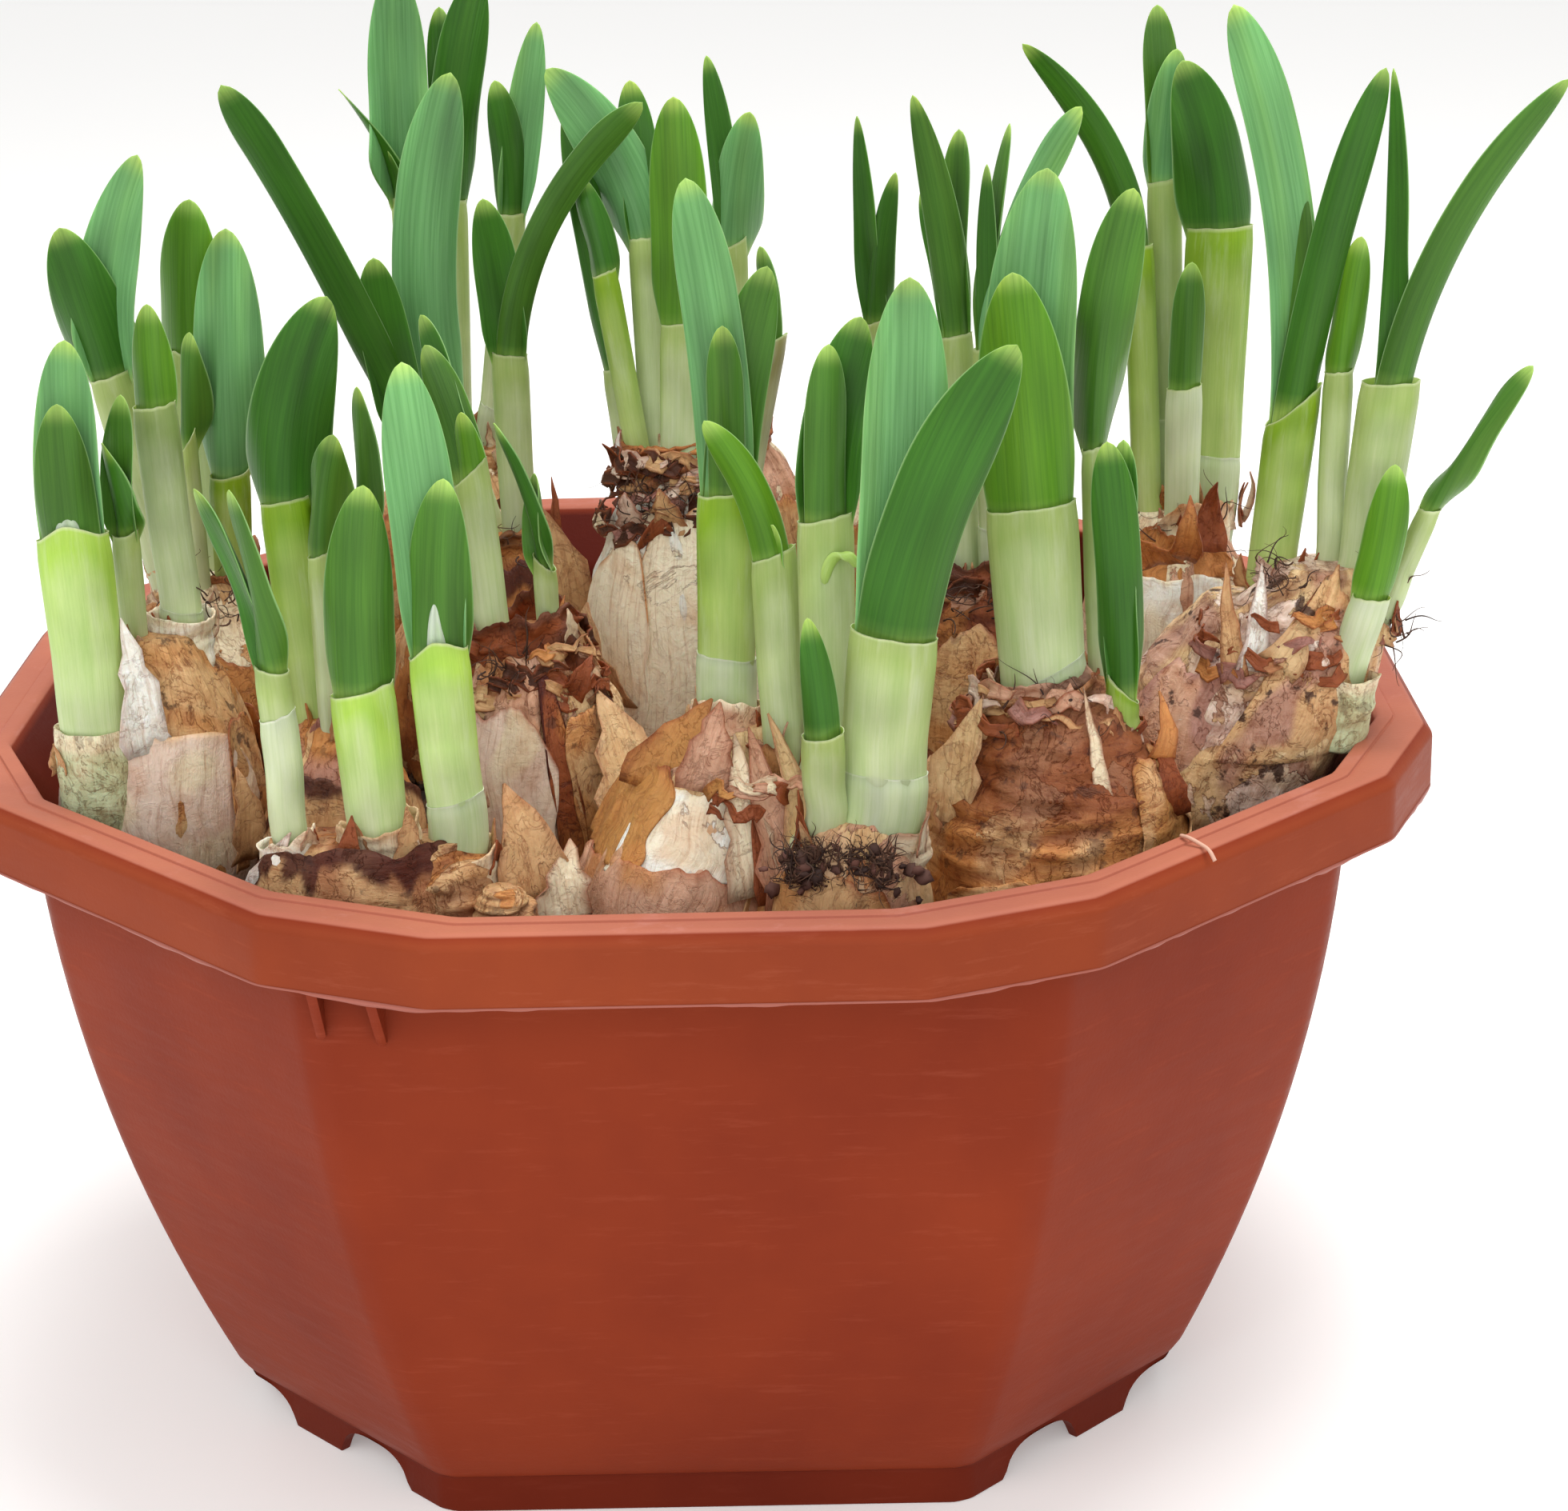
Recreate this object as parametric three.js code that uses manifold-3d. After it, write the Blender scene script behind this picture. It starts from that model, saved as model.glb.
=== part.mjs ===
// Potted tete-a-tete daffodils: a clump of fifteen sprouting bulbs in an eight-sided plastic bowl.
// Millimetres, +Z up. The origin is the centre of the pot's underside, and the photographed side faces -Y.
// Every sprouting bulb is three bodies: the brown bulb, its pale sheaths and its green leaves.
// The sheaths are open tubes that meet inside the bulb, and the leaves run down inside them.
import * as THREE from "three";
import { mergeVertices } from "three/addons/utils/BufferGeometryUtils.js";
import Module from "manifold-3d";

const wasm = await Module();
wasm.setup();

// Pot: heights above the table.
const RIM_TOP = 121;
const RIM_SKIRT = 11.3; // height of the vertical band round the rim
const RIM_BEVEL = 2; // bevel on the band's upper edge
const BODY_BOTTOM = 7; // underside of the pot's floor
const FLOOR_THICK = 2;

// Pot: half widths across the flats, and what the corners add.
const RIM_HALF = 125;
const RIM_CORNER_EXTRA = 4.4; // the narrow sides lie this much further out than the flats
const MOUTH_HALF = 116; // inner edge of the rim's flat top
const BODY_HALF_TOP = 107.7;
const BODY_TAPER = 6.5; // even narrowing from the top to the bottom
const BODY_BELLY = 18.4; // extra narrowing that grows towards the bottom
const DIAGONAL_SHARE = 1.082; // the corner facets' distance over the flats' distance
const CREASE_SHARE = 1.119; // the same for the rounded creases
const WALL = 2;

// Pot: feet, hanger ribs and drain holes.
const FOOT_HALF = 82;
const FOOT_WALL = 2.4;
const NOTCH_HEIGHT = 5.8;
const NOTCHES = [
  [0.087, 18],
  [-0.28, 21],
]; // two openings under each corner facet: the turn from its middle towards front or back, and the width
const PAD_RADIUS = 14; // round pad under the middle of the floor
const RIB_THICK = 1.5;
const RIBS = [
  [-54, 8.8, 10],
  [-45, 12.6, 11.5],
]; // place along the flat from its middle, reach from the body's wall into the skirt, and drop
const DRAIN_RADIUS = 4;
const DRAIN_RING = 52; // distance of the drain holes from the middle
const DRAIN_COUNT = 4;

// Fits: the clearance between touching bodies, the compost's height and the sheaths' wall.
const GAP = 0.3;
const COMPOST_TOP = 98;
const SHEATH_WALL = 0.7;
const BLADE_THICK = 1.2;
const HEART_RADIUS = 4.6; // growing plate inside a bulb, where its shoots meet
const UP = new THREE.Vector3(0, 0, 1);

// How finely the round pieces are cut.
const BULB_SIDES = 8;
const TUBE_SIDES = 6;
const BLADE_SIDES = 4;

// Bulb outline: share of the height, share of the radius.
const BULB_OUTLINE = [
  [0.0, 0.45],
  [0.2, 0.9],
  [0.45, 1.0],
  [0.72, 0.85],
  [1.0, 0.42],
];

// The clump, bulb by bulb, from the front left to the back right. A lobe runs from its root plate
// to its neck. The shoots of a bulb start on its growing plate, the heart. A shoot leaves the bulb at
// its neck and its sheath ends at its mouth. A leaf is given by its tip and its width.
const CLUMP = [
  {
    name: "left",
    heart: [-88, -43, 110],
    lobes: [{ base: [-88, -43, 92], neck: [-88, -44, 143], radius: 17 }],
    shoots: [
      {
        neck: [-95, -50, 130],
        mouth: [-96, -58, 164],
        width: 10.4,
        leaves: [
          { tip: [-95, -56, 195], width: 10 },
          { tip: [-96, -61, 186], width: 9 },
        ],
      },
      {
        neck: [-90, -46, 141],
        mouth: [-89, -52, 163],
        width: 4.6,
        leaves: [
          { tip: [-88, -51, 185], width: 5 },
          { tip: [-91, -54, 178], width: 3 },
        ],
      },
      {
        neck: [-83, -42, 144],
        mouth: [-84, -45, 182],
        width: 7.2,
        leaves: [{ tip: [-84, -44, 198], width: 6.8 }],
      },
    ],
  },
  {
    name: "left_rear",
    heart: [-86, 7, 110],
    lobes: [{ base: [-84, 8, 88], neck: [-88, 5, 138], radius: 18.5 }],
    shoots: [
      {
        neck: [-93, 3, 138],
        mouth: [-100, 0, 177],
        width: 7.5,
        leaves: [
          { tip: [-106, -2, 203], width: 12 },
          { tip: [-93, 5, 214], width: 9 },
        ],
      },
      {
        neck: [-88, 10, 136],
        mouth: [-88, 12, 178],
        width: 7.3,
        leaves: [{ tip: [-85, 12, 205], width: 9 }],
      },
      {
        neck: [-82, 4, 137],
        mouth: [-80, -3, 160],
        width: 7.2,
        leaves: [{ tip: [-77, -6, 203], width: 12.2 }],
      },
      {
        neck: [-87, 0, 136],
        mouth: [-86, -9, 167],
        width: 3.8,
        leaves: [{ tip: [-84, -9, 186], width: 4.5 }],
      },
    ],
  },
  {
    name: "left_inner",
    heart: [-57, -50, 106],
    lobes: [{ base: [-57, -50, 90], neck: [-58, -50, 130], radius: 13.5 }],
    shoots: [
      {
        neck: [-61, -50, 129],
        mouth: [-64, -46, 166],
        width: 8.5,
        leaves: [{ tip: [-55, -46, 199], width: 13.2 }],
      },
      {
        neck: [-58, -54, 130],
        mouth: [-58, -54, 159],
        width: 3.8,
        leaves: [
          { tip: [-54, -56, 179], width: 7 },
        ],
      },
      {
        neck: [-54, -47, 131],
        mouth: [-52, -42, 160],
        width: 5.2,
        leaves: [{ tip: [-52, -40, 183], width: 4.2 }],
      },
    ],
  },
  {
    name: "front_left",
    heart: [-44, -88, 103],
    lobes: [
      { base: [-50, -86, 88], neck: [-54, -91, 124], radius: 13 },
      { base: [-38, -89, 88], neck: [-36, -92, 124], radius: 11.5 },
      { base: [-27, -96, 100], neck: [-27, -98, 118], radius: 6 },
    ],
    shoots: [
      {
        neck: [-46, -92, 126],
        mouth: [-47, -93, 149],
        width: 9.9,
        leaves: [{ tip: [-45, -92, 180], width: 10 }],
      },
      {
        neck: [-59, -92, 123],
        mouth: [-60, -95, 153],
        width: 5.4,
        leaves: [
          { tip: [-64, -97, 181], width: 3.8 },
          { tip: [-70, -92, 180], width: 2.6 },
        ],
      },
      {
        neck: [-34, -92, 123],
        mouth: [-35, -95, 155],
        width: 9.3,
        leaves: [
          { tip: [-33, -93, 181], width: 9.5 },
          { tip: [-39, -86, 197], width: 9.5 },
        ],
      },
    ],
  },
  {
    name: "centre_left",
    heart: [-24, -36, 110],
    lobes: [{ base: [-22, -35, 88], neck: [-27, -36, 139], radius: 17 }],
    shoots: [
      {
        neck: [-32, -36, 137],
        mouth: [-35, -34, 167],
        width: 6.4,
        leaves: [
          { tip: [-36, -34, 177], width: 4.8 },
          { tip: [-42, -28, 187], width: 6.4 },
          { tip: [-43, -23, 191], width: 4 },
        ],
      },
      {
        neck: [-23, -38, 139],
        mouth: [-23, -40, 153],
        width: 4,
        leaves: [
          { tip: [-30, -42, 177], width: 2 },
          { tip: [-24, -40, 168], width: 2.4 },
        ],
      },
    ],
  },
  {
    name: "front",
    heart: [10, -80, 107],
    lobes: [
      { base: [-5, -78, 88], neck: [7, -70, 134], radius: 19 },
      { base: [22, -84, 90], neck: [27, -92, 126], radius: 14 },
    ],
    shoots: [
      {
        neck: [7, -68, 135],
        mouth: [8, -66, 171],
        width: 9.6,
        leaves: [
          { tip: [3, -67, 220], width: 8.6 },
          { tip: [8, -70, 198], width: 4.5 },
          { tip: [15, -65, 206], width: 6.4 },
        ],
      },
      {
        neck: [16, -76, 128],
        mouth: [15, -73, 163],
        width: 7.2,
        leaves: [
          { tip: [5, -77, 185], width: 5.6 },
          { tip: [15, -75, 168], width: 3.8 },
        ],
      },
      {
        neck: [22, -94, 126],
        mouth: [22, -98, 142],
        width: 6.7,
        leaves: [{ tip: [20, -98, 160], width: 5.2, point: 1.5 }],
      },
      {
        neck: [30, -92, 125],
        mouth: [33, -93, 156],
        width: 13.4,
        leaves: [
          { tip: [51, -97, 200], width: 12 },
          { tip: [36, -86, 208], width: 12 },
        ],
      },
      {
        neck: [23, -80, 132],
        mouth: [23, -78, 170],
        width: 8.8,
        leaves: [
          { tip: [29, -75, 200], width: 9.5 },
          { tip: [24, -80, 197], width: 6 },
        ],
      },
    ],
  },
  {
    name: "front_right",
    heart: [58, -69, 110],
    lobes: [{ base: [58, -70, 88], neck: [59, -68, 138], radius: 21 }],
    shoots: [
      {
        neck: [57, -68, 137],
        mouth: [55, -66, 168],
        width: 14.4,
        leaves: [
          { tip: [52, -69, 205], width: 14 },
          { tip: [58, -59, 219], width: 13.4 },
        ],
      },
      {
        neck: [66, -64, 134],
        mouth: [65, -62, 176],
        width: 3.8,
        leaves: [{ tip: [71, -61, 216], width: 8.4 }],
      },
      {
        neck: [69, -72, 131],
        mouth: [69, -73, 140],
        width: 5.5,
        leaves: [
          { tip: [66, -75, 180], width: 6.8 },
          { tip: [69, -70, 179], width: 3.8 },
        ],
      },
    ],
  },
  {
    name: "centre",
    heart: [-3, 3, 122],
    lobes: [{ base: [-3, 3, 90], neck: [-3, 2, 158], radius: 16.5 }],
    shoots: [
      {
        neck: [-9, 2, 160],
        mouth: [-14, 5, 192],
        width: 4.6,
        leaves: [{ tip: [-18, 10, 208], width: 5 }],
      },
      {
        neck: [-2, -2, 156],
        mouth: [-1, 0, 184],
        width: 6.8,
        leaves: [{ tip: [-1, 4, 222], width: 9.5 }],
      },
      {
        neck: [-6, 6, 160],
        mouth: [-7, 10, 197],
        width: 5.8,
        leaves: [
          { tip: [-23, 12, 226], width: 8 },
          { tip: [-9, 18, 223], width: 6.4 },
        ],
      },
      {
        neck: [8, 4, 150],
        mouth: [14, 6, 179],
        width: 6.7,
        leaves: [{ tip: [13, 10, 195], width: 3 }],
      },
      {
        neck: [-11, 9, 157],
        mouth: [-13, 11, 174],
        width: 5,
        leaves: [{ tip: [-20, 13, 219], width: 5.6, point: 1.5 }],
      },
    ],
  },
  {
    name: "rear_left_inner",
    heart: [-38, 19, 112],
    lobes: [{ base: [-39, 21, 88], neck: [-37, 18, 141], radius: 19 }],
    shoots: [
      {
        neck: [-32, 16, 139],
        mouth: [-32, 15, 176],
        width: 6.8,
        leaves: [
          { tip: [-35, 12, 204], width: 7.6 },
          { tip: [-6, -2, 222], width: 5 },
        ],
      },
      {
        neck: [-39, 21, 140],
        mouth: [-45, 19, 164],
        width: 9.5,
        leaves: [{ tip: [-40, 18, 225], width: 10.8 }],
      },
      {
        neck: [-43, 14, 141],
        mouth: [-50, 12, 163],
        width: 6.3,
        leaves: [
          { tip: [-76, -6, 227], width: 6.6 },
          { tip: [-54, 7, 195], width: 8.4 },
        ],
      },
    ],
  },
  {
    name: "rear_left",
    heart: [-48, 64, 118],
    lobes: [{ base: [-48, 66, 88], neck: [-48, 64, 146], radius: 20 }],
    shoots: [
      {
        neck: [-54, 62, 146],
        mouth: [-55, 64, 196],
        width: 4.6,
        leaves: [
          { tip: [-54, 64, 238], width: 9.2 },
          { tip: [-58, 61, 206], width: 4 },
          { tip: [-65, 58, 217], width: 2.4, point: 3 },
        ],
      },
      {
        neck: [-48, 66, 146],
        mouth: [-47, 68, 194],
        width: 7.6,
        leaves: [
          { tip: [-39, 68, 236], width: 9 },
          { tip: [-47, 72, 230], width: 5 },
        ],
      },
      {
        neck: [-41, 62, 147],
        mouth: [-34, 60, 193],
        width: 5.4,
        leaves: [
          { tip: [-28, 62, 228], width: 6.8, point: 1.5 },
          { tip: [-36, 58, 218], width: 6 },
        ],
      },
    ],
  },
  {
    name: "rear",
    heart: [4, 64, 118],
    lobes: [{ base: [2, 66, 88], neck: [4, 64, 148], radius: 19 }],
    shoots: [
      {
        neck: [7, 64, 148],
        mouth: [7, 66, 185],
        width: 6,
        leaves: [
          { tip: [11, 66, 210], width: 8.2, point: 1.3 },
          { tip: [3, 71, 220], width: 5, point: 1.8 },
        ],
      },
    ],
  },
  {
    name: "centre_right",
    heart: [48, -20, 112],
    lobes: [{ base: [47, -19, 88], neck: [49, -20, 142], radius: 17.5 }],
    shoots: [
      {
        neck: [47, -20, 142],
        mouth: [46, -15, 184],
        width: 5.6,
        leaves: [
          { tip: [39, -14, 224], width: 6, point: 2.5 },
          { tip: [41, -8, 208], width: 5 },
          { tip: [47, -6, 217], width: 3.8 },
        ],
      },
      {
        neck: [52, -22, 142],
        mouth: [51, -20, 183],
        width: 5.4,
        leaves: [
          { tip: [51, -18, 213], width: 2.6, point: 2 },
          { tip: [55, -14, 219], width: 2.8, point: 2 },
          { tip: [66, -24, 223], width: 4 },
        ],
      },
    ],
  },
  {
    name: "rear_right",
    heart: [39, 60, 114],
    lobes: [{ base: [42, 60, 88], neck: [37, 58, 145], radius: 19 }],
    shoots: [
      {
        neck: [36, 58, 146],
        mouth: [34, 56, 172],
        width: 5.6,
        leaves: [
          { tip: [31, 58, 210], width: 3.8, point: 2.5 },
          { tip: [38, 54, 200], width: 4.8, point: 1.8 },
        ],
      },
    ],
  },
  {
    name: "right_rear",
    heart: [86, 16, 112],
    lobes: [{ base: [83, 17, 90], neck: [87, 16, 143], radius: 17.5 }],
    shoots: [
      {
        neck: [82, 18, 142],
        mouth: [80, 23, 191],
        width: 5.7,
        leaves: [
          { tip: [59, 16, 228], width: 5.6, point: 1.6 },
        ],
      },
      {
        neck: [86, 22, 142],
        mouth: [85, 28, 202],
        width: 6.3,
        leaves: [
          { tip: [87, 28, 225], width: 7 },
          { tip: [84, 34, 232], width: 6 },
        ],
      },
      {
        neck: [92, 17, 145],
        mouth: [94, 20, 195],
        width: 11.9,
        leaves: [{ tip: [87, 20, 224], width: 12.8, point: 1.2 }],
      },
      {
        neck: [87, 10, 141],
        mouth: [87, 8, 169],
        width: 6.5,
        leaves: [{ tip: [88, 8, 191], width: 5.6 }],
      },
    ],
  },
  {
    name: "right",
    heart: [95, -35, 118],
    lobes: [
      { base: [82, -34, 97], neck: [106, -33, 147], radius: 18 },
      { base: [80, -32, 98], neck: [93, -30, 141], radius: 16.5 },
    ],
    shoots: [
      {
        neck: [98, -28, 146],
        mouth: [101, -28, 174],
        width: 8.7,
        leaves: [
          { tip: [91, -18, 238], width: 8 },
          { tip: [101, -22, 211], width: 4 },
          { tip: [114, -30, 229], width: 6.2, point: 1.5 },
        ],
      },
      {
        neck: [107, -30, 144],
        mouth: [108, -30, 180],
        width: 5,
        leaves: [{ tip: [111, -30, 202], width: 4.5 }],
      },
      {
        neck: [112, -34, 144],
        mouth: [116, -34, 179],
        width: 9.9,
        leaves: [
          { tip: [115, -31, 229], width: 2.8, point: 3 },
          { tip: [141, -40, 228], width: 5.6, point: 1.5 },
        ],
      },
      {
        neck: [107, -43, 127],
        mouth: [112, -46, 146],
        width: 6.5,
        leaves: [{ tip: [115, -46, 168], width: 6.7 }],
      },
      {
        neck: [115, -39, 140],
        mouth: [122, -40, 159],
        width: 3.8,
        leaves: [{ tip: [137, -43, 183], width: 2.8 }],
      },
    ],
  },
];

// Joins rings of equally many points into one closed body; each end is closed by a fan.
function loft(rings) {
  const count = rings[0].length;
  const points = rings.flat();
  const first = points.length;
  points.push(middle(rings[0]), middle(rings[rings.length - 1]));
  const index = [];
  for (let i = 0; i < count; i++) {
    const next = (i + 1) % count;
    for (let ring = 0; ring < rings.length - 1; ring++) {
      const low = ring * count;
      const high = low + count;
      index.push(low + i, low + next, high + next);
      index.push(low + i, high + next, high + i);
    }
    const last = (rings.length - 1) * count;
    index.push(first, next, i);
    index.push(first + 1, last + i, last + next);
  }
  const geometry = new THREE.BufferGeometry().setFromPoints(points);
  geometry.setIndex(index);
  return solid(geometry);
}

// The middle of a ring of points.
function middle(ring) {
  const sum = new THREE.Vector3();
  ring.forEach((point) => sum.add(point));
  return sum.divideScalar(ring.length);
}

// A closed geometry as a body that can be joined and cut.
function solid(geometry) {
  const bare = geometry.clone();
  bare.deleteAttribute("normal");
  bare.deleteAttribute("uv");
  const merged = mergeVertices(bare, 1e-4);
  const triVerts = new Uint32Array(merged.index.array);
  const made = new wasm.Manifold(
    new wasm.Mesh({
      numProp: 3,
      vertProperties: new Float32Array(merged.attributes.position.array),
      triVerts,
    }),
  );
  if (made.volume() > 0) return made;
  for (let i = 0; i < triVerts.length; i += 3)
    [triVerts[i + 1], triVerts[i + 2]] = [triVerts[i + 2], triVerts[i + 1]];
  return new wasm.Manifold(
    new wasm.Mesh({
      numProp: 3,
      vertProperties: new Float32Array(merged.attributes.position.array),
      triVerts,
    }),
  );
}

// Joins a list of bodies.
function join(bodies) {
  return bodies.reduce((sum, body) => sum.add(body));
}

// A body's largest piece: slivers that a cut sets free are left out.
function largest(body) {
  return body.decompose().reduce((a, b) => (a.volume() > b.volume() ? a : b));
}

// A body as a named mesh with its own colour.
function mesh(name, body, colour, roughness) {
  const made = body.getMesh();
  const geometry = new THREE.BufferGeometry();
  geometry.setAttribute("position", new THREE.BufferAttribute(made.vertProperties, 3));
  geometry.setIndex(new THREE.BufferAttribute(made.triVerts, 1));
  geometry.computeVertexNormals();
  const material = new THREE.MeshStandardMaterial({ color: colour, roughness, metalness: 0 });
  const result = new THREE.Mesh(geometry, material);
  result.name = name;
  return result;
}

// A level sixteen-sided ring from the distances of its flats, creases and corner facets.
function outline(z, flat, crease, diagonal) {
  const distances = [flat, crease, diagonal, crease];
  const step = Math.PI / 8;
  const ring = [];
  for (let side = 0; side < 16; side++) {
    const angle = side * step;
    const here = distances[side % 4];
    const next = distances[(side + 1) % 4];
    const along = (next - here * Math.cos(step)) / Math.sin(step);
    ring.push(
      new THREE.Vector3(
        here * Math.cos(angle) - along * Math.sin(angle),
        here * Math.sin(angle) + along * Math.cos(angle),
        z,
      ),
    );
  }
  return ring;
}

// The rim's outline, moved in by a distance.
function rimRing(z, inset) {
  return outline(z, RIM_HALF - inset, RIM_HALF + RIM_CORNER_EXTRA - inset, RIM_HALF - inset);
}

// The edge of the pot's mouth, moved out by a distance.
function mouthRing(z, out) {
  return outline(z, MOUTH_HALF + out, MOUTH_HALF + 3.4 + out, MOUTH_HALF + 0.6 + out);
}

// Half width of the body across the flats at a height.
function bodyHalf(z) {
  const down = (RIM_TOP - RIM_SKIRT - z) / (RIM_TOP - RIM_SKIRT - BODY_BOTTOM);
  return BODY_HALF_TOP - BODY_TAPER * down - BODY_BELLY * down * down;
}

// The body's outline at a height, moved in by a distance.
function bodyRing(z, inset) {
  const half = bodyHalf(z);
  return outline(z, half - inset, half * CREASE_SHARE - inset, half * DIAGONAL_SHARE - inset);
}

// An upright round column.
function column(x, y, low, high, radius, sides) {
  const geometry = new THREE.CylinderGeometry(radius, radius, high - low, sides);
  geometry.rotateX(Math.PI / 2);
  geometry.translate(x, y, (low + high) / 2);
  return solid(geometry);
}

// An upright block turned about the pot's axis.
function block(size, at, turn) {
  const geometry = new THREE.BoxGeometry(...size);
  geometry.translate(...at);
  geometry.rotateZ(turn);
  return solid(geometry);
}

// What fills the pot from its floor to a height, moved in by a distance.
function potFilling(top, inset) {
  const low = BODY_BOTTOM + FLOOR_THICK + inset;
  const skirt = RIM_TOP - RIM_SKIRT;
  const rings = [low, 40, 75, COMPOST_TOP].map((z) => bodyRing(z, WALL + inset));
  if (top > skirt) {
    rings.push(bodyRing(skirt, WALL + inset));
    rings.push(mouthRing(RIM_TOP, -inset));
    rings.push(mouthRing(top, -inset));
  }
  return loft(rings);
}

// One triangular rib that carries the rim beside a hanger's slot.
function hangerRib(along, reach, drop, turn) {
  const top = RIM_TOP - RIM_SKIRT + 2;
  const wall = bodyHalf(top) - 1.5;
  const shape = new THREE.Shape();
  shape.moveTo(0, 0);
  shape.lineTo(reach + 1.5, 0);
  shape.lineTo(0, -drop - 2);
  const geometry = new THREE.ExtrudeGeometry(shape, { depth: RIB_THICK, bevelEnabled: false });
  geometry.rotateX(Math.PI / 2);
  geometry.translate(wall, along + RIB_THICK / 2, top);
  geometry.rotateZ(turn);
  return solid(geometry);
}

function makePot() {
  const skirt = RIM_TOP - RIM_SKIRT;
  const rim = loft([
    rimRing(skirt, 0),
    rimRing(RIM_TOP - RIM_BEVEL, 0),
    rimRing(RIM_TOP, RIM_BEVEL),
  ]);
  const underRim = loft([rimRing(skirt - 1, WALL), rimRing(RIM_TOP - WALL, WALL)]);
  const throat = loft([bodyRing(skirt - 2, 0), bodyRing(skirt, 0), mouthRing(RIM_TOP, WALL)]);
  const heights = [BODY_BOTTOM + 2, 40, 75, skirt];
  const body = loft([bodyRing(BODY_BOTTOM, 2), ...heights.map((z) => bodyRing(z, 0))]);
  let pot = rim.subtract(underRim).add(throat).add(body);
  for (const turn of [-Math.PI / 2, Math.PI / 2])
    for (const [along, reach, drop] of RIBS) pot = pot.add(hangerRib(along, reach, drop, turn));
  pot = pot.subtract(potFilling(RIM_TOP + 5, 0));
  const footOut = [FOOT_HALF, FOOT_HALF * CREASE_SHARE, FOOT_HALF * DIAGONAL_SHARE];
  const footIn = footOut.map((distance) => distance - FOOT_WALL);
  let foot = loft([outline(0, ...footOut), outline(BODY_BOTTOM + 1, ...footOut)]);
  foot = foot.subtract(loft([outline(-1, ...footIn), outline(BODY_BOTTOM + 2, ...footIn)]));
  for (let quarter = 0; quarter < 4; quarter++)
    for (const [offset, width] of NOTCHES) {
      const facet = (quarter * Math.PI) / 2 + Math.PI / 4;
      const turn = facet + (quarter % 2 ? -offset : offset);
      const notch = block([30, width, NOTCH_HEIGHT * 2], [FOOT_HALF * DIAGONAL_SHARE, 0, 0], turn);
      foot = foot.subtract(notch);
    }
  pot = pot.add(foot).add(column(0, 0, 0, BODY_BOTTOM + 1, PAD_RADIUS, 10));
  for (let i = 0; i < DRAIN_COUNT; i++) {
    const angle = ((i + 0.5) * 2 * Math.PI) / DRAIN_COUNT;
    const x = DRAIN_RING * Math.cos(angle);
    const y = DRAIN_RING * Math.sin(angle);
    pot = pot.subtract(column(x, y, 0, BODY_BOTTOM + FLOOR_THICK + 1, DRAIN_RADIUS, 6));
  }
  return pot;
}

// A level ring of a bulb.
function bulbRing(centre, radius, sides) {
  const ring = [];
  for (let i = 0; i < sides; i++) {
    const angle = (i / sides) * 2 * Math.PI;
    ring.push(
      new THREE.Vector3(
        centre.x + radius * Math.cos(angle),
        centre.y + radius * Math.sin(angle),
        centre.z,
      ),
    );
  }
  return ring;
}

// One lobe of a bulb, from its root plate up to its neck, grown by a distance.
function lobeBody(lobe, grow) {
  const base = new THREE.Vector3(...lobe.base);
  const neck = new THREE.Vector3(...lobe.neck);
  const rings = BULB_OUTLINE.map(([height, width]) => {
    const centre = base.clone().lerp(neck, height);
    return bulbRing(centre, lobe.radius * width + grow, BULB_SIDES);
  });
  rings[0].forEach((point) => (point.z -= grow));
  return loft(rings);
}

// The two directions across a path: sideways along a blade's width, and back through its thickness.
function acrossPath(direction) {
  const wide = new THREE.Vector3(1, 0, 0);
  wide.addScaledVector(direction, -wide.dot(direction)).normalize();
  const thick = new THREE.Vector3().crossVectors(direction, wide);
  return [wide, thick];
}

// An oval section across a path; curl bends its two edges to one side, as in a channelled leaf.
function section(centre, direction, halfWide, halfThick, curl, sides) {
  const [wide, thick] = acrossPath(direction);
  const ring = [];
  for (let i = 0; i < sides; i++) {
    const angle = (i / sides) * 2 * Math.PI;
    const side = Math.cos(angle);
    const lift = halfThick * Math.sin(angle) + curl * (side * side - 0.4);
    ring.push(
      centre.clone().addScaledVector(wide, halfWide * side).addScaledVector(thick, lift),
    );
  }
  return ring;
}

// Half width and half thickness of a sheath at its mouth.
function sheathHalves(shoot) {
  const halfWide = Math.max(shoot.width / 2, 1.9);
  return [halfWide, Math.max(halfWide * 0.68, 2.2)];
}

// A shoot's tube, shrunk by a distance: it starts on the bulb's growing plate, leaves the bulb at the
// neck and ends at its mouth, or a distance past it. All the tubes of a bulb share their first ring.
function tube(heart, shoot, shrink, past, sides) {
  const start = new THREE.Vector3(...heart);
  start.z += shrink;
  const neck = new THREE.Vector3(...shoot.neck);
  const mouth = new THREE.Vector3(...shoot.mouth);
  const lower = neck.clone().sub(start).normalize();
  const upper = mouth.clone().sub(neck).normalize();
  const bend = lower.clone().add(upper).normalize();
  const [wide, thick] = sheathHalves(shoot).map((half) => half - shrink);
  const top = mouth.clone().addScaledVector(upper, past);
  const plate = HEART_RADIUS - 1.5 * shrink;
  return loft([
    section(start, UP, plate, plate, 0, sides),
    section(neck, bend, wide, thick, 0, sides),
    section(top, upper, wide, thick, 0, sides),
  ]);
}

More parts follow.
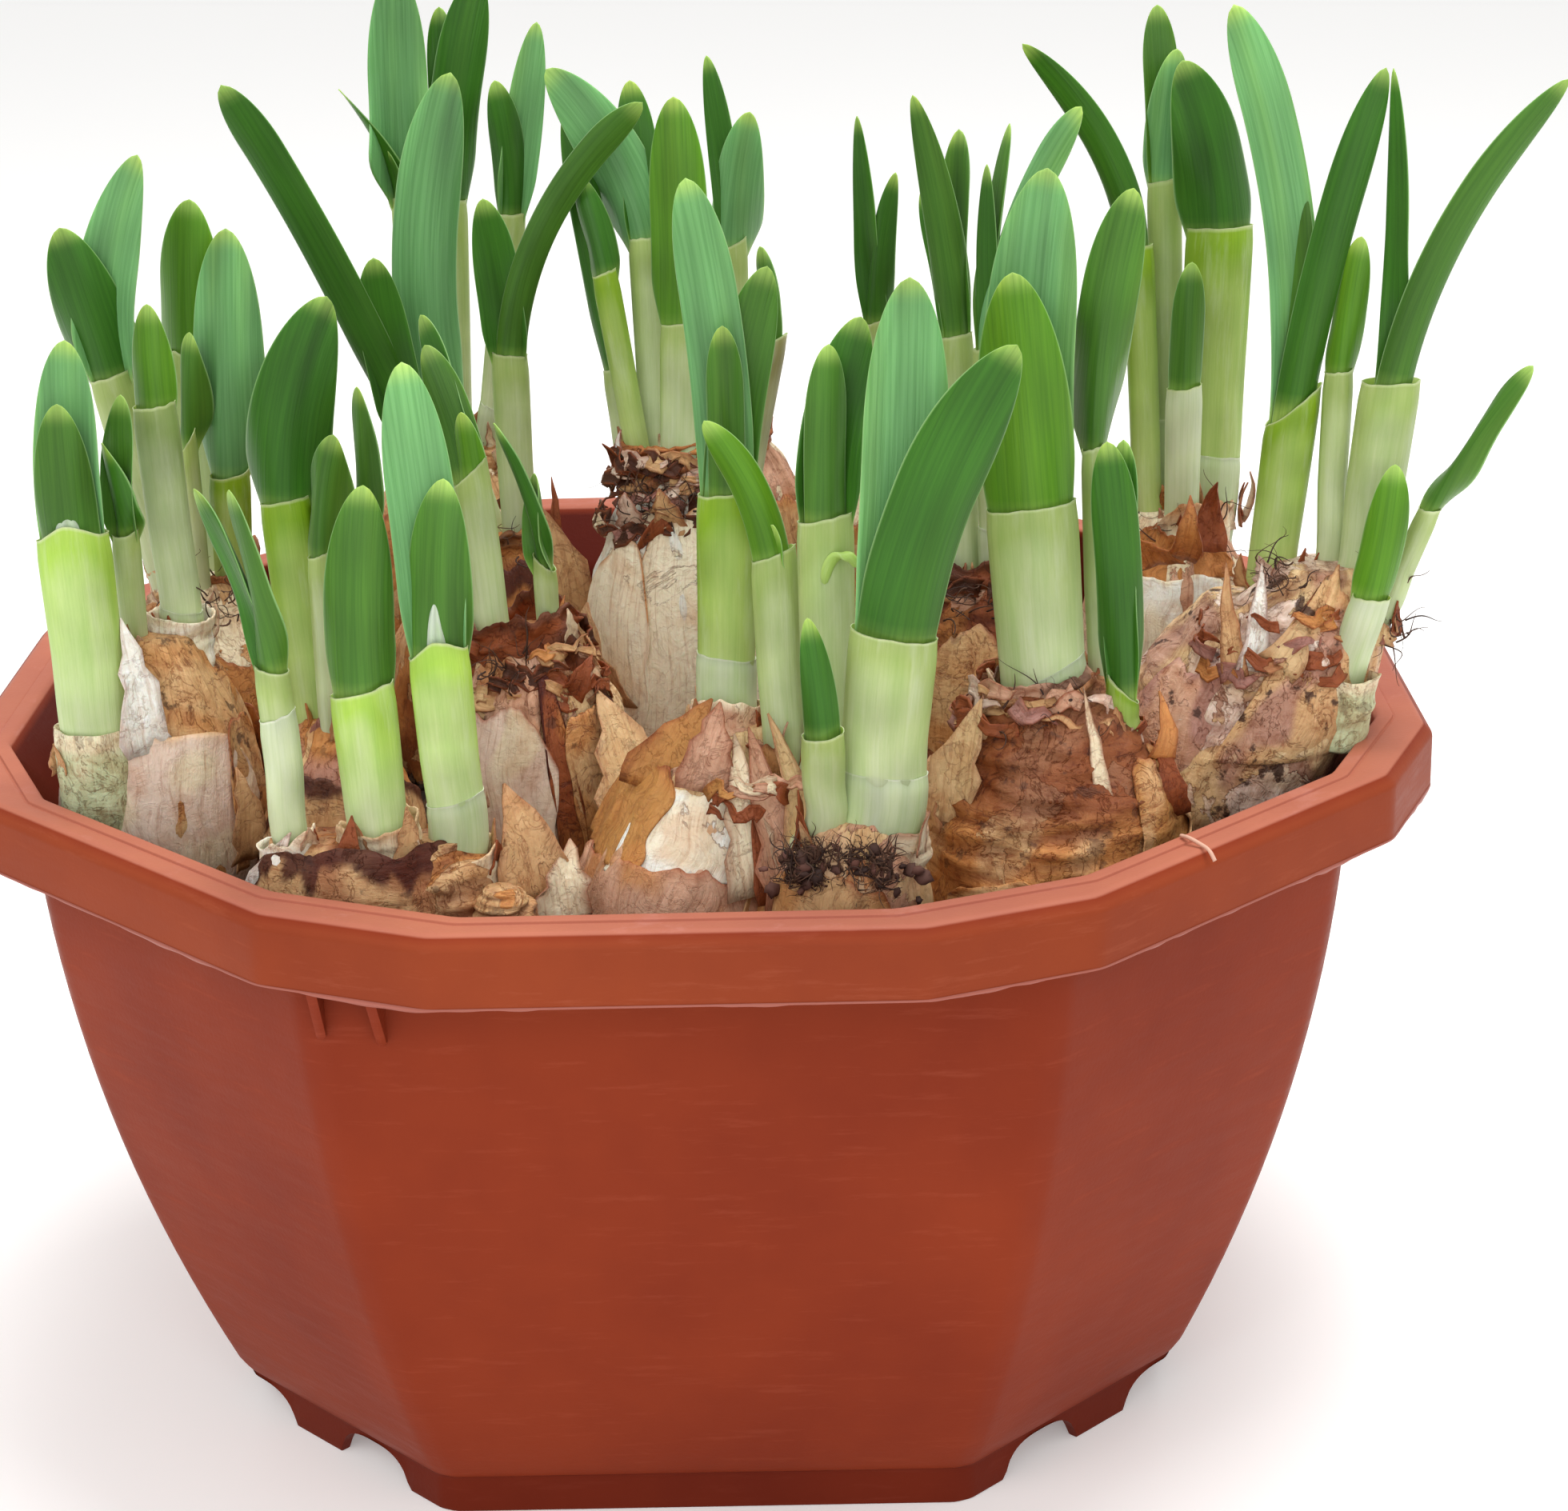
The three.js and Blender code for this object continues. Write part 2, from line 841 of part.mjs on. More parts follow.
// A leaf from its shoot's mouth to its rounded tip. The layer shifts its root towards the back.
function bladeBody(shoot, leaf, layer) {
  const neck = new THREE.Vector3(...shoot.neck);
  const mouth = new THREE.Vector3(...shoot.mouth);
  const tip = new THREE.Vector3(...leaf.tip);
  const upper = mouth.clone().sub(neck).normalize();
  const start = mouth.clone().addScaledVector(upper, -4);
  start.y += layer;
  const length = start.distanceTo(tip);
  const lead = start.clone().addScaledVector(upper, length * 0.5);
  const path = new THREE.QuadraticBezierCurve3(start, lead, tip);
  const [wide, thick] = sheathHalves(shoot);
  const root = Math.min((wide - SHEATH_WALL - GAP) * 0.74, Math.max(leaf.width / 2, 0.9));
  const full = leaf.width / 2;
  const half = BLADE_THICK / 2;
  const round = Math.min(leaf.width * (leaf.point ?? 0.9), length * 0.45) / length;
  const curl = leaf.width * 0.12;
  const stations = [
    [1 / length, root, half, 0],
    [4.5 / length, root, half, 0],
    [(1 - round) * 0.72, full, half, curl],
    [1 - round * 0.42, full * 0.78, half, curl * 0.6],
    [1, full * 0.22, half * 0.8, 0],
  ];
  const rings = stations.map(([share, halfWide, halfThick, bend]) => {
    const centre = path.getPoint(share);
    const direction = path.getTangent(share);
    return section(centre, direction, halfWide, halfThick, bend, BLADE_SIDES);
  });
  return loft(rings);
}

// The leaves of one shoot, layered from front to back where they leave the sheath.
function bladeBodies(shoot) {
  const [, thick] = sheathHalves(shoot);
  const room = Math.min(0.85, (thick - SHEATH_WALL) * 0.86 - (GAP + BLADE_THICK) / 2);
  const inOrder = [...shoot.leaves].sort((a, b) => a.tip[1] - b.tip[1]);
  const last = inOrder.length - 1;
  return inOrder.map((leaf, i) => {
    const layer = last ? (2 * i) / last - 1 : 0;
    return bladeBody(shoot, leaf, layer * room);
  });
}

// One sprouting bulb: the bulb, its sheaths and its leaves.
function sprout({ name, heart, lobes, shoots }) {
  const outers = [];
  const bores = [];
  const hollows = [];
  const cores = [];
  for (const shoot of shoots) {
    outers.push(tube(heart, shoot, 0, 0, TUBE_SIDES));
    bores.push(tube(heart, shoot, -GAP, 0, TUBE_SIDES));
    hollows.push(tube(heart, shoot, SHEATH_WALL, 2, TUBE_SIDES));
    cores.push(tube(heart, shoot, SHEATH_WALL + 2 * GAP, -2, BLADE_SIDES));
    cores.push(...bladeBodies(shoot));
  }
  const whole = join(lobes.map((lobe) => lobeBody(lobe, 0)));
  const bulb = largest(whole.subtract(join(bores)));
  const sheaths = largest(join(outers).subtract(join(hollows)));
  return { name, bulb, sheaths, leaves: join(cores) };
}

const root = new THREE.Group();
root.add(mesh("pot", makePot(), "#9f4431", 0.55));

let compost = potFilling(COMPOST_TOP, GAP);
for (const { lobes } of CLUMP)
  for (const lobe of lobes) compost = compost.subtract(lobeBody(lobe, GAP));
root.add(mesh("compost", largest(compost), "#3a2a20", 1));

for (const plant of CLUMP) {
  const { name, bulb, sheaths, leaves } = sprout(plant);
  root.add(mesh("bulb_" + name, bulb, "#b9855a", 0.6));
  root.add(mesh("sheaths_" + name, sheaths, "#cbd8a6", 0.45));
  root.add(mesh("leaves_" + name, leaves, "#4b9450", 0.45));
}

export default root;
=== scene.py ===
import math

import bpy
import numpy as np
from mathutils import Matrix


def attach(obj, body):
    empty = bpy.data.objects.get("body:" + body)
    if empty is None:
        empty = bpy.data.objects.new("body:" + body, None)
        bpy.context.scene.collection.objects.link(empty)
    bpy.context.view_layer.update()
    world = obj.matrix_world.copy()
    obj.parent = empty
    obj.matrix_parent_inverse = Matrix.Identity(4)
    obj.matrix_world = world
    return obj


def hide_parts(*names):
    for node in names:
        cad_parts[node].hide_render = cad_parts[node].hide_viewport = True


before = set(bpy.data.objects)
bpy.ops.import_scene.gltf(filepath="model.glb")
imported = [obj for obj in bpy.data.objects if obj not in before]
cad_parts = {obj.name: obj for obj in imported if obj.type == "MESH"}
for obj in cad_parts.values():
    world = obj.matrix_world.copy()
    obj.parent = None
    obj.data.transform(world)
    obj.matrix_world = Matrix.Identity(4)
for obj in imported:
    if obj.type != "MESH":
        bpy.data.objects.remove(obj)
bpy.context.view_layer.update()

# The picture: a short telephoto lens a little above the rim, 19 degrees down, in a white studio.
# Three large soft lamps, from the left, the front and above, and white surroundings give an even light.
# The floor is a white board that glows a little, so that its far end stays white.
CAMERA_AT = (20.49, -578.91, 305.43)
CAMERA_PITCH, CAMERA_YAW, CAMERA_ROLL = 19.13, -0.522, -1.335
CAMERA_LENS = 78.2
FLOOR_WHITE = "#f4f3f1"
LAMPS = {
    "key_lamp": ((-520, -900, 900), (0, 0, 130), 600, 3.0),
    "front_lamp": ((150, -1300, 560), (0, 0, 130), 800, 3.6),
    "top_lamp": ((150, 150, 1100), (0, 0, 100), 700, 10.0),
}
SURROUNDINGS_STRENGTH = 0.72
BOARD_HALF, BOARD_GLOW = 6000, 0.22


def linear(code):
    """A hex colour as linear red, green and blue.

    Each part over 255 goes through the inverse of the screen's curve.
    """
    part = np.array([int(code[i : i + 2], 16) for i in (1, 3, 5)]) / 255
    return np.where(part <= 0.04045, part / 12.92, ((part + 0.055) / 1.055) ** 2.4)


def new_material(name, settings):
    """A named material with its shader's constant sockets set. Returns the material and its node tree."""
    made = bpy.data.materials.new(name)
    made.use_nodes = True
    shader = made.node_tree.nodes["Principled BSDF"]
    for socket, value in settings.items():
        shader.inputs[socket].default_value = value
    return made, made.node_tree


def add(tree, kind, inputs, output, **settings):
    """Adds one node: its properties, its inputs as values or links, and returns the named output."""
    made = tree.nodes.new(kind)
    for name, value in settings.items():
        setattr(made, name, value)
    for name, value in inputs.items():
        if isinstance(value, bpy.types.NodeSocket):
            tree.links.new(value, made.inputs[name])
        else:
            made.inputs[name].default_value = value
    return made.outputs[output]


def feed(tree, socket, value):
    """Links an output to a socket of the material's shader."""
    tree.links.new(value, tree.nodes["Principled BSDF"].inputs[socket])


def place_camera():
    """The camera's axes: forward from yaw and pitch, right level with the floor, both turned by the roll."""
    pitch, yaw, roll = (math.radians(a) for a in (CAMERA_PITCH, CAMERA_YAW, CAMERA_ROLL))
    forward = np.array([math.sin(yaw) * math.cos(pitch), math.cos(yaw) * math.cos(pitch), -math.sin(pitch)])
    level = np.array([math.cos(yaw), -math.sin(yaw), 0])
    above = np.cross(level, forward)
    right = math.cos(roll) * level + math.sin(roll) * above
    up = math.cos(roll) * above - math.sin(roll) * level
    camera = bpy.data.objects.new("camera", bpy.data.cameras.new("camera"))
    camera.data.lens = CAMERA_LENS
    camera.data.clip_end = 20
    place = np.eye(4)
    place[:3] = np.stack([right, up, -forward, np.array(CAMERA_AT) / 1000], 1)
    camera.matrix_world = Matrix(place.tolist())
    bpy.context.scene.collection.objects.link(camera)
    bpy.context.scene.camera = camera


def place_lamp(name, at, aim, size, power):
    """A square soft lamp that looks at a point, in millimetres and watts."""
    lamp = bpy.data.objects.new(name, bpy.data.lights.new(name, "AREA"))
    lamp.data.size = size / 1000
    lamp.data.energy = power
    back = (np.array(at) - np.array(aim)) / np.linalg.norm(np.array(at) - np.array(aim))
    side = np.cross([0, 0, 1], back)
    side /= np.linalg.norm(side)
    place = np.eye(4)
    place[:3] = np.stack([side, np.cross(back, side), back, np.array(at) / 1000], 1)
    lamp.matrix_world = Matrix(place.tolist())
    bpy.context.scene.collection.objects.link(lamp)


place_camera()
for lamp_name, lamp_row in LAMPS.items():
    place_lamp(lamp_name, *lamp_row)
world = bpy.data.worlds.new("studio")
world.use_nodes = True
world.node_tree.nodes["Background"].inputs["Color"].default_value = (1, 1, 1, 1)
world.node_tree.nodes["Background"].inputs["Strength"].default_value = SURROUNDINGS_STRENGTH
bpy.context.scene.world = world
bpy.context.scene.view_settings.view_transform = "Standard"

board_mesh = bpy.data.meshes.new("floor")
board_far = BOARD_HALF / 1000
board_corners = [(board_far * x, board_far * y, 0) for x, y in ((-1, -1), (1, -1), (1, 1), (-1, 1))]
board_mesh.from_pydata(board_corners, [], [(0, 1, 2, 3)])
board = bpy.data.objects.new("floor", board_mesh)
bpy.context.scene.collection.objects.link(board)
# Painted white board: matt, without any pattern, and faintly lit from within.
board_paint, _ = new_material("matt_white_board", {
    "Base Color": (*linear(FLOOR_WHITE), 1), "Roughness": 0.9, "Emission Color": (1, 1, 1, 1),
    "Emission Strength": BOARD_GLOW})
board_mesh.materials.append(board_paint)

# The pot: one injection-moulded bowl of terracotta-coloured polypropylene. Eight flat sides with crisp
# creases narrow downwards in a curve to a foot ring with arched notches. The rim is a hollow skirt with
# sixteen sides, a bevel, a fine step on its flat top and a thin ragged line of flash on its lower edge.
RIM_TOP, RIM_SKIRT, RIM_BEVEL = 121, 11.3, 2
RIM_HALF, RIM_CORNER = 124.8, 129.2
RIM_STEP, RIM_STEP_DEEP = 2.6, 0.45
# Where four half widths or shares stand together, they are those of the outline's sides that face 0, 22.5,
# 45 and 67.5 degrees, and the other twelve sides repeat them.
MOUTH = (116, 119.4, 116.6, 119.4)
BODY_BOTTOM, FLOOR_THICK, WALL = 7, 2, 2
BODY_TOP_HALF, BODY_TAPER, BODY_BELLY = 107.7, 6.5, 18.4
INNER_ROWS, OUTER_ROWS = 10, 18
BODY_SHARES = np.array([1, 1.119, 1.082, 1.119])
FOOT_HALF, FOOT_WALL = 82, 2.4
NOTCH_HEIGHT, NOTCHES = 5.8, ((0.087, 18), (-0.28, 21))
PAD_RADIUS = 14
# A rib is: its place along the side, how far it stands out and how much deeper it is at the wall.
RIB_THICK, RIB_ROOT, RIBS = 1.5, 1.5, ((-54.6, 8.0, 11.8), (-45.5, 11.8, 13.3))
DRAIN_RADIUS, DRAIN_RING, DRAIN_COUNT, DRAIN_DEPTH = 4, 52, 4, 1.7
POT_SEGMENTS, FLASH_SEGMENTS = 640, 960
# How crisp the outline's corners are, as the power that outline() takes.
POT_CORNERS, FLASH_CORNERS = 900, 420
PLASTIC, PLASTIC_WORN, PLASTIC_RUBBED, FLASH_PALE = "#86351d", "#782d1a", "#c06a52", "#9a5040"
# How much lighter or darker the plastic is painted: painted light on the skirt, a painted highlight on the
# rim's flat top, and painted shade on the foot ring and the inside wall.
SKIRT_PAINTED_LIGHT, TOP_PAINTED_HIGHLIGHT = (1.13, 1.38, 1.4), (1.9, 4.2, 7.4)
FOOT_PAINTED_SHADE, INSIDE_PAINTED_SHADE = (0.6, 0.5, 0.55), (0.4, 0.32, 0.45)
RIPPLE_WAVES = 9


def ripple(points, size, seed):
    """Smooth unevenness from -1 to 1 or so.

    It is the sum of sine waves in random directions, each about a size long.
    """
    draw = np.random.default_rng(seed)
    direction = draw.normal(size=(RIPPLE_WAVES, 3))
    direction /= np.linalg.norm(direction, axis=1)[:, None]
    pace = 2 * np.pi / (size * draw.uniform(0.7, 1.4, RIPPLE_WAVES))
    phase = draw.uniform(0, 2 * np.pi, RIPPLE_WAVES)
    return np.sin(points @ (direction * pace[:, None]).T + phase).sum(-1) / math.sqrt(RIPPLE_WAVES)


def smooth(share):
    """An even step from 0 to 1: three times the square less twice the cube of the share."""
    share = np.clip(share, 0, 1)
    return share * share * (3 - 2 * share)


def loft(rings):
    """Faces of closed bodies from rings shaped (bodies, rings, points round, 3).

    Neighbouring rings are joined by four-sided faces, and each end ring is closed by faces between its two
    halves. A body whose signed volume comes out negative has its faces turned round.
    """
    bodies, count, around = rings.shape[:3]
    here = np.arange(around)
    after = (here + 1) % around
    low = np.arange(count - 1)[:, None] * around
    sides = np.stack([low + here, low + after, low + around + after, low + around + here], -1)
    half = np.arange(around // 2 - 1)
    cap = np.stack([half, half + 1, around - 2 - half, around - 1 - half], -1)
    faces = np.concatenate([sides.reshape(-1, 4), cap[:, ::-1], cap + (count - 1) * around])
    points = rings.reshape(bodies, -1, 3)
    corner = (points - points.mean(1, keepdims=True))[:, faces]
    a, b, c, d = corner[:, :, 0], corner[:, :, 1], corner[:, :, 2], corner[:, :, 3]
    volume = (a * (np.cross(b, c) + np.cross(c, d))).sum((1, 2))
    every = np.where((volume < 0)[:, None, None], faces[:, ::-1], faces)
    return (every + np.arange(bodies)[:, None, None] * count * around).reshape(-1, 4)


def piece(name, parts, material, replaced=(), sharp=None):
    """One shown piece from lofted parts. Each part is its rings, then any named values for every point."""
    points, faces, start = [], [], 0
    for rings, _ in parts:
        faces.append(loft(rings) + start)
        points.append(rings.reshape(-1, 3))
        start += points[-1].shape[0]
    points, faces = np.concatenate(points) / 1000, np.concatenate(faces)
    mesh = bpy.data.meshes.new(name)
    mesh.vertices.add(len(points))
    mesh.vertices.foreach_set("co", points.astype(np.float32).ravel())
    mesh.loops.add(faces.size)
    mesh.loops.foreach_set("vertex_index", faces.astype(np.int32).ravel())
    mesh.polygons.add(len(faces))
    mesh.polygons.foreach_set("loop_start", np.arange(len(faces), dtype=np.int32) * 4)
    mesh.update(calc_edges=True)
    mesh.shade_smooth()
    if sharp:
        mesh.set_sharp_from_angle(angle=math.radians(sharp))
    for key in parts[0][1]:
        value = np.concatenate([values[key].reshape(-1, 3) for _, values in parts])
        kind = "FLOAT_COLOR" if key == "tint" else "FLOAT_VECTOR"
        layer = mesh.attributes.new(key, kind, "POINT")
        if key == "tint":
            value = np.concatenate([value, np.ones((len(value), 1))], 1)
        layer.data.foreach_set("color" if key == "tint" else "vector", value.astype(np.float32).ravel())
    mesh.materials.append(material)
    made = bpy.data.objects.new(name, mesh)
    bpy.context.scene.collection.objects.link(made)
    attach(made, "root")
    if replaced:
        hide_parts(*replaced)


def outline(angle, distances, sharpness):
    """Radius of the sixteen-sided outline at each angle.

    A side at distance d, facing a, lies d / cos(angle - a) away. The outline is the soft minimum of all
    sixteen: the sum of those distances to a high negative power, which rounds each corner a little.
    """
    distances = np.tile(distances, 4)
    facing = np.cos(angle[:, None] - np.arange(16) * np.pi / 8)
    share = np.clip(facing, 0, None) * distances.mean() / distances
    return distances.mean() * (share**sharpness).sum(-1) ** (-1 / sharpness)


def body_half(z):
    """Half width of the body across the flats: an even taper, and a belly with the square of the depth."""
    down = (RIM_TOP - RIM_SKIRT - z) / (RIM_TOP - RIM_SKIRT - BODY_BOTTOM)
    return BODY_TOP_HALF - BODY_TAPER * down - BODY_BELLY * down**2


def body_row(z, inset):
    """One row of the body's profile: its height, then its four kinds of side."""
    return [z, *(body_half(z) * BODY_SHARES - inset)]


def round_corners(rows):
    """Rounds a profile's corners.

    A corner with a radius becomes the curve with one control point between the points that far before
    and after it.
    """
    made = []
    for i, (radius, *row) in enumerate(rows):
        here = np.array(row, float)
        if radius == 0 or i in (0, len(rows) - 1):
            made.append(here)
            continue
        before, after = np.array(rows[i - 1][1:], float), np.array(rows[i + 1][1:], float)
        span = [max(np.abs(other - here)[:2].max(), 1e-6) for other in (before, after)]
        first = here + (before - here) * min(radius / span[0], 0.5)
        last = here + (after - here) * min(radius / span[1], 0.5)
        for t in np.linspace(0, 1, 5):
            made.append(first * (1 - t) ** 2 + here * 2 * t * (1 - t) + last * t**2)
    return np.array(made)


def pot_rings():
    """The pot as rings round its axis, from the middle of its inner floor over the rim to the pad below it.

    A row of its profile is a corner's radius, its height and the outline's four half widths there.
    """
    skirt = RIM_TOP - RIM_SKIRT
    mouth = np.array(MOUTH)
    rim = np.array([RIM_HALF, RIM_CORNER, RIM_HALF, RIM_CORNER])
    floor_top = BODY_BOTTOM + FLOOR_THICK
    foot = FOOT_HALF * BODY_SHARES
    rows = [[0, floor_top, *(BODY_SHARES * 0.5)]]
    rows.append([3, *body_row(floor_top, WALL)])
    rows += [[0, *body_row(z, WALL)] for z in np.linspace(14, skirt - 4, INNER_ROWS)]
    rows.append([2, *body_row(skirt, WALL)])
    lip = np.array([RIM_TOP, *mouth])
    rows.append([0, *(lip + (body_row(skirt, WALL) - lip) * 0.15)])
    rows.append([0.7, *lip])
    rows.append([0.15, RIM_TOP, *(mouth + RIM_STEP)])
    rows.append([0.1, RIM_TOP - RIM_STEP_DEEP, *(mouth + RIM_STEP + 0.15)])
    rows.append([0.15, RIM_TOP - RIM_STEP_DEEP + 0.15, *(mouth + RIM_STEP + 0.5)])
    rows.append([0.6, RIM_TOP, *(rim - RIM_BEVEL)])
    rows.append([0.6, RIM_TOP - RIM_BEVEL, *rim])
    rows.append([0.3, skirt, *rim])
    rows.append([0.3, skirt, *(rim - WALL)])
    rows.append([0.5, RIM_TOP - WALL - 1, *(rim - WALL)])
    throat = body_half(skirt) * BODY_SHARES
    throat = throat + (mouth + WALL - throat) * (1 - (WALL + 1) / RIM_SKIRT)
    rows.append([1, RIM_TOP - WALL - 1, *throat])
    rows.append([0, *body_row(skirt, 0)])
    rows += [[0, *body_row(z, 0)] for z in np.linspace(skirt - 3, BODY_BOTTOM + 3, OUTER_ROWS)]
    rows.append([1.2, *body_row(BODY_BOTTOM, 0.6)])
    rows.append([0.8, BODY_BOTTOM - 0.4, *(foot - 0.6)])
    rows.append([0.5, 0, *(foot - 0.3)])
    rows.append([0.5, 0, *(foot - FOOT_WALL)])
    rows.append([1, BODY_BOTTOM, *(foot - FOOT_WALL)])
    # The floor's rows stand closer together where the drain holes are.
    under = [*np.arange(68, 61, -4), *np.arange(60, 44, -1.2), *np.arange(42, PAD_RADIUS + 1, -4)]
    rows += [[0, BODY_BOTTOM, *(BODY_SHARES * radius)] for radius in under]
    rows.append([0.5, BODY_BOTTOM, *([PAD_RADIUS] * 4)])
    rows.append([0.8, 0, *([PAD_RADIUS] * 4)])
    rows.append([0, 0, 0.5, 0.5, 0.5, 0.5])
    profile = round_corners(rows)
    angle = np.linspace(0, 2 * np.pi, POT_SEGMENTS, endpoint=False)
    radius = np.stack([outline(angle, row[1:], POT_CORNERS) for row in profile])
    height = np.repeat(profile[:, :1], POT_SEGMENTS, 1)
    round_share = np.clip((PAD_RADIUS + 6 - profile[:, 1]) / 6, 0, 1)[:, None]
    radius = radius * (1 - round_share) + profile[:, 1:2] * round_share
    # Two arched notches lift the lower edge of the foot ring under each corner facet.
    arch = 0 * angle
    for offset, width in NOTCHES:
        facets = np.arange(4) * np.pi / 2 + np.pi / 4 + offset * np.array([1, -1, 1, -1])
        off = (angle[:, None] - facets + np.pi) % (2 * np.pi) - np.pi
        away = np.abs(off).min(1) * FOOT_HALF * BODY_SHARES[2] / (width / 2)
        arch = np.maximum(arch, NOTCH_HEIGHT * np.sqrt(np.clip(1 - away**3, 0, 1)))
    is_foot = (profile[:, 1] > 70) & (profile[:, 0] < BODY_BOTTOM - 1)
    height = np.where(is_foot[:, None], np.maximum(height, arch), height)
    # Drain holes: round hollows in the underside of the floor.
    x, y = radius * np.cos(angle), radius * np.sin(angle)
    holes = (np.arange(DRAIN_COUNT) + 0.5) * 2 * np.pi / DRAIN_COUNT
    reach = np.min([np.hypot(x - DRAIN_RING * np.cos(h), y - DRAIN_RING * np.sin(h)) for h in holes], 0)
    is_under = (np.arange(len(profile)) > len(profile) // 2)[:, None] & (height > BODY_BOTTOM - 0.5)
    height = height + np.where(is_under & (reach < DRAIN_RADIUS), DRAIN_DEPTH, 0)
    # Painted light and shade: the skirt is painted lighter, the rim's flat top paler as a painted highlight,
    # and the foot ring and the inner wall darker as painted shade.
    rings = np.stack([x, y, height], -1)
    tint = np.ones_like(rings)
    on_top = np.abs(profile[:, 0] - RIM_TOP) < 0.5
    tint[profile[:, 1] > RIM_HALF - 0.7] = SKIRT_PAINTED_LIGHT
    tint[(profile[:, 0] < BODY_BOTTOM - 0.3) & (profile[:, 1] > 70)] = FOOT_PAINTED_SHADE
    tint[on_top] = TOP_PAINTED_HIGHLIGHT
    inside = (np.arange(len(profile)) < np.argmax(on_top))[:, None] * smooth((RIM_TOP - height - 0.3) / 1.5)
    tint = tint + (np.array(INSIDE_PAINTED_SHADE) - tint) * inside[..., None]
    return rings[None], {"tint": tint[None]}


def turned(points, angle):
    """Points turned about the pot's axis."""
    c, s = math.cos(angle), math.sin(angle)
    return points @ np.array([[c, s, 0], [-s, c, 0], [0, 0, 1]])


def rib_rings():
    """The hanger ribs: fins under the rim, front and back.

    Their depth shrinks evenly from the wall to the skirt, and they stop short of the pot's inner surface.
    """
    skirt = RIM_TOP - RIM_SKIRT
    top = skirt + RIB_ROOT
    loop = np.array([[-1, 0], [1, 0], [1, 0.5], [1, 0.97], [0.4, 1], [-0.4, 1], [-1, 0.97], [-1, 0.5]])
    fins = []
    for turn in (0, math.pi):
        for along, reach, drop in RIBS:
            out = np.linspace(-1, reach, 9)
            deep = RIB_ROOT + drop * (1 - np.clip(out, 0, None) / reach)
            wide = np.repeat(along + RIB_THICK / 2 * loop[None, :, 0], 9, 0)
            level = top - deep[:, None] * loop[:, 1]
            slope = (MOUTH[0] - body_half(skirt) + WALL) / RIM_SKIRT
            inner = body_half(np.minimum(level, skirt)) - WALL + np.clip(level - skirt, 0, None) * slope
            back = -np.maximum(body_half(skirt - 5) + out[:, None], inner + 0.8)
            fins.append(turned(np.stack([wide, back, level], -1), turn))
    return np.stack(fins)


def flash_rings():
    """The flash: a thin upright ribbon along the rim's lower edge, whose height wanders up to 1 mm."""
    angle = np.linspace(0, 2 * np.pi, FLASH_SEGMENTS)
    rim = np.array([RIM_HALF, RIM_CORNER, RIM_HALF, RIM_CORNER])
    radius = outline(angle, rim, FLASH_CORNERS)
    circle = np.stack([np.cos(angle), np.sin(angle), np.zeros_like(angle)], -1)
    ragged = 0.1 + 0.26 * ripple(circle * 125, 26, 5) + 0.12 * ripple(circle * 125, 5, 6)
    hang = np.clip(ragged, 0.04, 1)
    skirt = RIM_TOP - RIM_SKIRT
    loop = [(-0.5, 0.35, 0), (0.12, 0.3, 0), (0.18, 0.0, 0), (0.1, 0, 1), (-0.1, 0, 1), (-0.5, 0, 0.2)]
    ring = [circle * (radius + out)[:, None] + np.stack([0 * hang, 0 * hang, skirt + up - hang * down], -1)
            for out, up, down in loop]
    return np.stack(ring, 1)[None]


# Moulded polypropylene: an even colour with slightly darker clouds some four centimetres across, a satin
# skin with a moulded grain under a millimetre, and faint rubbing marks that run round the bowl.
plastic, tree = new_material("moulded_polypropylene_terracotta", {"IOR": 1.49, "Specular IOR Level": 0.05})
spot = add(tree, "ShaderNodeTexCoord", {}, "Object")
clouds = add(tree, "ShaderNodeTexNoise", {"Vector": spot, "Scale": 22.0, "Detail": 4.0, "Roughness": 0.6},
             "Fac")
cloud_share = add(tree, "ShaderNodeMapRange", {0: clouds, 1: 0.35, 2: 0.72, 3: 0.0, 4: 1.0}, 0)
colour = add(tree, "ShaderNodeMix", {0: cloud_share, 6: (*linear(PLASTIC), 1),
                                     7: (*linear(PLASTIC_WORN), 1)}, 2, data_type="RGBA")
flat_spot = add(tree, "ShaderNodeMapping", {"Vector": spot, "Scale": (1, 1, 9)}, 0)
rubbed = add(tree, "ShaderNodeTexNoise", {"Vector": flat_spot, "Scale": 60.0, "Detail": 6.0,
                                          "Roughness": 0.7}, "Fac")
rub_share = add(tree, "ShaderNodeMapRange", {0: rubbed, 1: 0.56, 2: 0.8, 3: 0.0, 4: 0.15}, 0)
colour = add(tree, "ShaderNodeMix", {0: rub_share, 6: colour, 7: (*linear(PLASTIC_RUBBED), 1)}, 2,
             data_type="RGBA")
# Painted light and shade: the tint makes the skirt and rim top lighter, the foot ring and inside darker.
tint = add(tree, "ShaderNodeAttribute", {}, "Color", attribute_name="tint")
colour = add(tree, "ShaderNodeMix", {0: 1.0, 6: colour, 7: tint}, 2, data_type="RGBA", blend_type="MULTIPLY")
feed(tree, "Base Color", colour)
feed(tree, "Roughness", add(tree, "ShaderNodeMapRange", {0: rubbed, 1: 0.3, 2: 0.75, 3: 0.38, 4: 0.56}, 0))
grain = add(tree, "ShaderNodeTexNoise", {"Vector": spot, "Scale": 1400.0, "Detail": 2.0}, "Fac")
feed(tree, "Normal", add(tree, "ShaderNodeBump", {"Height": grain, "Strength": 0.12, "Distance": 0.0003}, 0))

# Flash: the same plastic, drawn so thin that it has turned pale.
flash_plastic, _ = new_material("pale_moulding_flash", {
    "Base Color": (*linear(FLASH_PALE), 1), "Roughness": 0.5})

ribs = rib_rings()
bowl_parts = [pot_rings(), (ribs, {"tint": np.ones_like(ribs)})]
piece("bowl", bowl_parts, plastic, ["pot"], sharp=38)
piece("rim_flash", [(flash_rings(), {})], flash_plastic)

